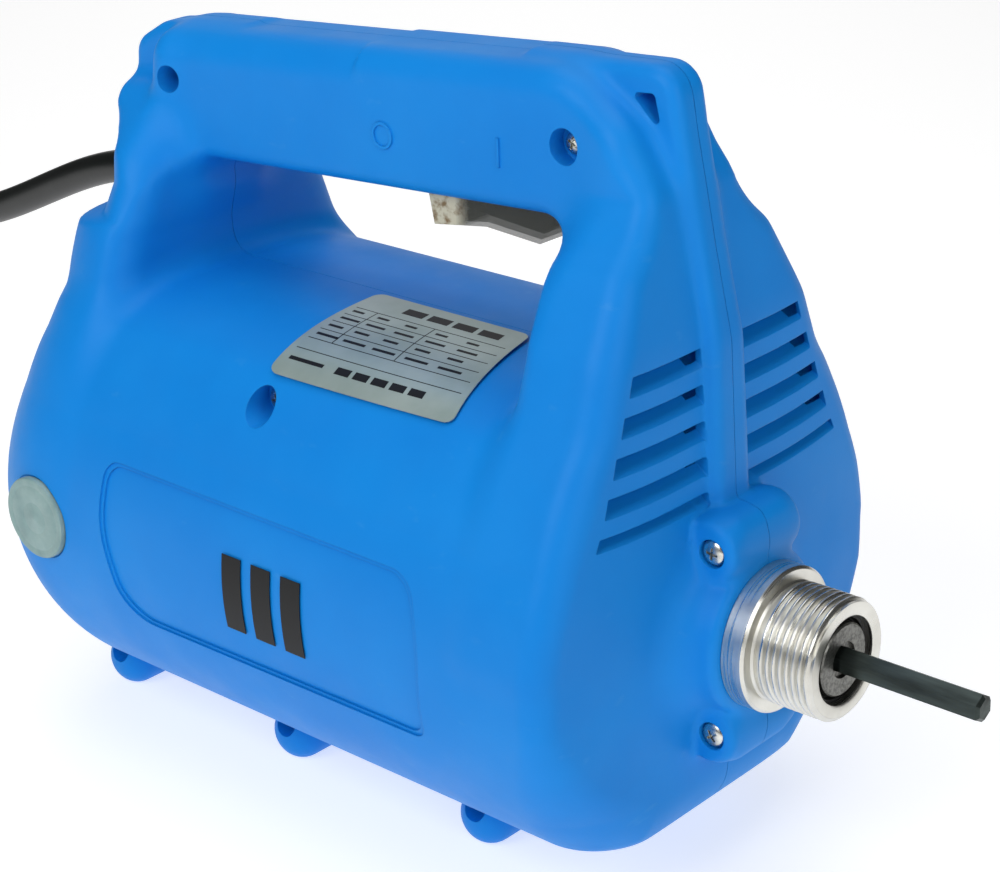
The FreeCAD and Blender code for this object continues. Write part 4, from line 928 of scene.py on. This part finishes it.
def steel_finish(name, colour, roughness, streak):
    """Bare or zinc plated steel with slight handling marks."""
    finish = Finish(name, linear(*colour), roughness, Metallic=1.0)
    wear = finish.noise(240, 4, streak)
    finish.set("Roughness", finish.scaled(wear, 0.3, 0.7, roughness - 0.08, roughness + 0.12))
    darker = tuple(c * 0.72 for c in colour)
    worn = finish.scaled(wear, 0.4, 0.7, 0, 1)
    finish.set("Base Color", finish.mixed(worn, linear(*colour), linear(*darker)))
    finish.bump(wear, 0.00002, 0.3, finish.bevelled(0.12))
    return finish.material


def cap_finish():
    """Milky translucent polyethylene."""
    finish = Finish("milky_cap", linear(150, 178, 178), 0.42, IOR=1.5)
    finish.set("Subsurface Weight", 0.35)
    finish.set("Subsurface Radius", (0.002, 0.003, 0.003))
    clouds = finish.scaled(finish.noise(120, 4), 0.35, 0.7, 0, 1)
    finish.set("Base Color", finish.mixed(clouds, linear(118, 148, 148), linear(140, 168, 166)))
    finish.bump(finish.noise(900, 2), 0.00005, 0.3)
    return finish.material


def boot_finish():
    """Clear PVC: dark where the switch shows through it, yellowed and grimy at its rear end."""
    finish = Finish("boot_pvc", linear(196, 194, 176), 0.28, IOR=1.48)
    along = finish.node("SeparateXYZ", "X", {"Vector": finish.place})
    rear = finish.scaled(along, -0.118, -0.124, 0, 1)
    blotches = finish.scaled(finish.noise(260, 5), 0.48, 0.66, 0, 1)
    grime = finish.mixed(blotches, linear(198, 194, 172), linear(120, 96, 60))
    finish.set("Base Color", finish.mixed(rear, linear(52, 56, 50), grime))
    finish.set("Alpha", finish.scaled(rear, 0, 1, 0.5, 0.95))
    finish.bump(finish.noise(60, 2), 0.0002, 0.2, finish.bevelled(0.5))
    return finish.material


def cable_finish():
    """Satin black rubber sheath with faint dust."""
    finish = Finish("cable_sheath", linear(20, 25, 23), 0.38, IOR=1.5)
    dust = finish.scaled(finish.noise(70, 5), 0.5, 0.75, 0, 0.25)
    finish.set("Base Color", finish.mixed(dust, linear(10, 14, 13), linear(34, 38, 36)))
    finish.bump(finish.noise(500, 2), 0.00008, 0.3)
    return finish.material


def foil_finish():
    """Silvery grey printed foil."""
    finish = Finish("label_foil", linear(158, 175, 170), 0.34, Metallic=0.35)
    shade = finish.scaled(finish.noise(40, 4), 0.35, 0.65, 0, 1)
    finish.set("Base Color", finish.mixed(shade, linear(152, 170, 165), linear(170, 185, 180)))
    return finish.material


# Slots with a plain finish: display colour, metallic, roughness.
PLAIN = {
    "seal_rubber": ((22, 23, 24), 0, 0.5),
    "winding_copper": ((190, 104, 60), 0.8, 0.35),
    "fan_plastic": ((52, 54, 56), 0, 0.5),
    "brass": ((214, 184, 112), 1, 0.3),
    "carbon": ((42, 42, 44), 0, 0.65),
    "switch_plastic": ((20, 21, 22), 0, 0.32),
    "lead_insulation": ((130, 72, 40), 0, 0.45),
    "capacitor_plastic": ((214, 190, 84), 0, 0.4),
    "badge_print": ((8, 9, 11), 0, 0.5),
}
# Steel slots: display colour, roughness, how the wear is stretched along x, y and z.
STEEL = {
    "zinc_steel": ((226, 226, 218), 0.24, (1, 1, 1)),
    "spring_steel": ((150, 150, 154), 0.3, (1, 1, 1)),
    "bearing_steel": ((190, 190, 192), 0.22, (1, 1, 1)),
    "socket_steel": ((124, 124, 120), 0.4, (4, 4, 4)),
    "hex_steel": ((66, 74, 72), 0.34, (0.12, 1, 1)),
    "lamination_steel": ((136, 136, 140), 0.45, (8, 1, 1)),
}


def finishes():
    """The material of every slot in the record."""
    made = {"casing": casing_finish(), "nose_aluminium": aluminium_finish(), "cap_plastic": cap_finish(),
            "boot_clear": boot_finish(), "cable_rubber": cable_finish(), "plate_foil": foil_finish()}
    for slot, (colour, metallic, roughness) in PLAIN.items():
        finish = Finish(slot, linear(*colour), roughness, Metallic=float(metallic), Specular_IOR_Level=0.3)
        finish.bump(finish.noise(700, 2), 0.00004, 0.3)
        made[slot] = finish.material
    for slot, (colour, roughness, streak) in STEEL.items():
        made[slot] = steel_finish(slot, colour, roughness, streak)
    return made


def dress(pieces):
    """Gives every shown piece the finish of its slot."""
    made = finishes()
    slots = {part["node"]: part["material_slot"] for part in frame["record"]["subparts"]}
    for name, node in frame["nodes"].items():
        node.data.materials.clear()
        node.data.materials.append(made[slots[name]])
    for obj in pieces:
        obj.data.materials.clear()
        obj.data.materials.append(made[obj["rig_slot"]])


# ---------------------------------------------------------------- stage

def stage():
    """Pale floor that glows a little, soft studio light and the camera."""
    bpy.ops.mesh.primitive_plane_add(size=14, location=(-0.15, 0, CAD_BOX[0][2]))
    floor = bpy.context.active_object
    floor.name = "floor"
    finish = Finish("pale_floor", linear(205, 205, 205), 0.85)
    finish.set("Emission Color", (1.0, 1.0, 1.0, 1))
    finish.set("Emission Strength", 0.62)
    floor.data.materials.append(finish.material)
    world = bpy.data.worlds.new("studio")
    world.use_nodes = True
    nodes, links = world.node_tree.nodes, world.node_tree.links
    height = nodes.new("ShaderNodeSeparateXYZ")
    ramp = nodes.new("ShaderNodeMapRange")
    place = nodes.new("ShaderNodeTexCoord")
    links.new(place.outputs["Generated"], height.inputs["Vector"])
    links.new(height.outputs["Z"], ramp.inputs["Value"])
    for key, value in (("From Min", -0.05), ("From Max", 0.35), ("To Min", 0.55), ("To Max", 1.05)):
        ramp.inputs[key].default_value = value
    links.new(ramp.outputs["Result"], nodes["Background"].inputs["Strength"])
    bpy.context.scene.world = world
    for name, place, size, power in LIGHTS:
        lamp = bpy.data.lights.new(name, "AREA")
        lamp.size = size
        lamp.energy = power
        obj = bpy.data.objects.new(name, lamp)
        obj.location = place
        obj.rotation_euler = (Vector(LIGHT_AIM) - Vector(place)).to_track_quat("-Z", "Y").to_euler()
        bpy.context.scene.collection.objects.link(obj)
    view_camera()
    bpy.context.scene.view_settings.view_transform = "Standard"


def view_camera():
    """A long lens from the left front, a little above and slightly rolled."""
    azimuth, elevation, roll = (math.radians(a) for a in CAMERA_TURN)
    level = math.cos(elevation)
    back = Vector((math.sin(azimuth) * level, -math.cos(azimuth) * level, math.sin(elevation)))
    right = Vector((math.cos(azimuth), math.sin(azimuth), 0))
    up = back.cross(right)
    turned_right = math.cos(roll) * right + math.sin(roll) * up
    turned_up = math.cos(roll) * up - math.sin(roll) * right
    camera = bpy.data.objects.new("camera", bpy.data.cameras.new("camera"))
    camera.data.lens = CAMERA_LENS
    camera.data.sensor_width = 36
    camera.data.clip_end = 20
    turn = Matrix((turned_right, turned_up, back)).transposed().to_4x4()
    camera.matrix_world = Matrix.Translation(CAMERA_PLACE) @ turn
    bpy.context.scene.collection.objects.link(camera)
    bpy.context.scene.camera = camera


pieces = half_shells()
pieces += [threaded_nose(), screw_set(), brush_cap("left", -1), brush_cap("right", 1)]
pieces += [brush_spring("left", -1), brush_spring("right", 1)]
pieces += label()
dress(pieces)
stage()
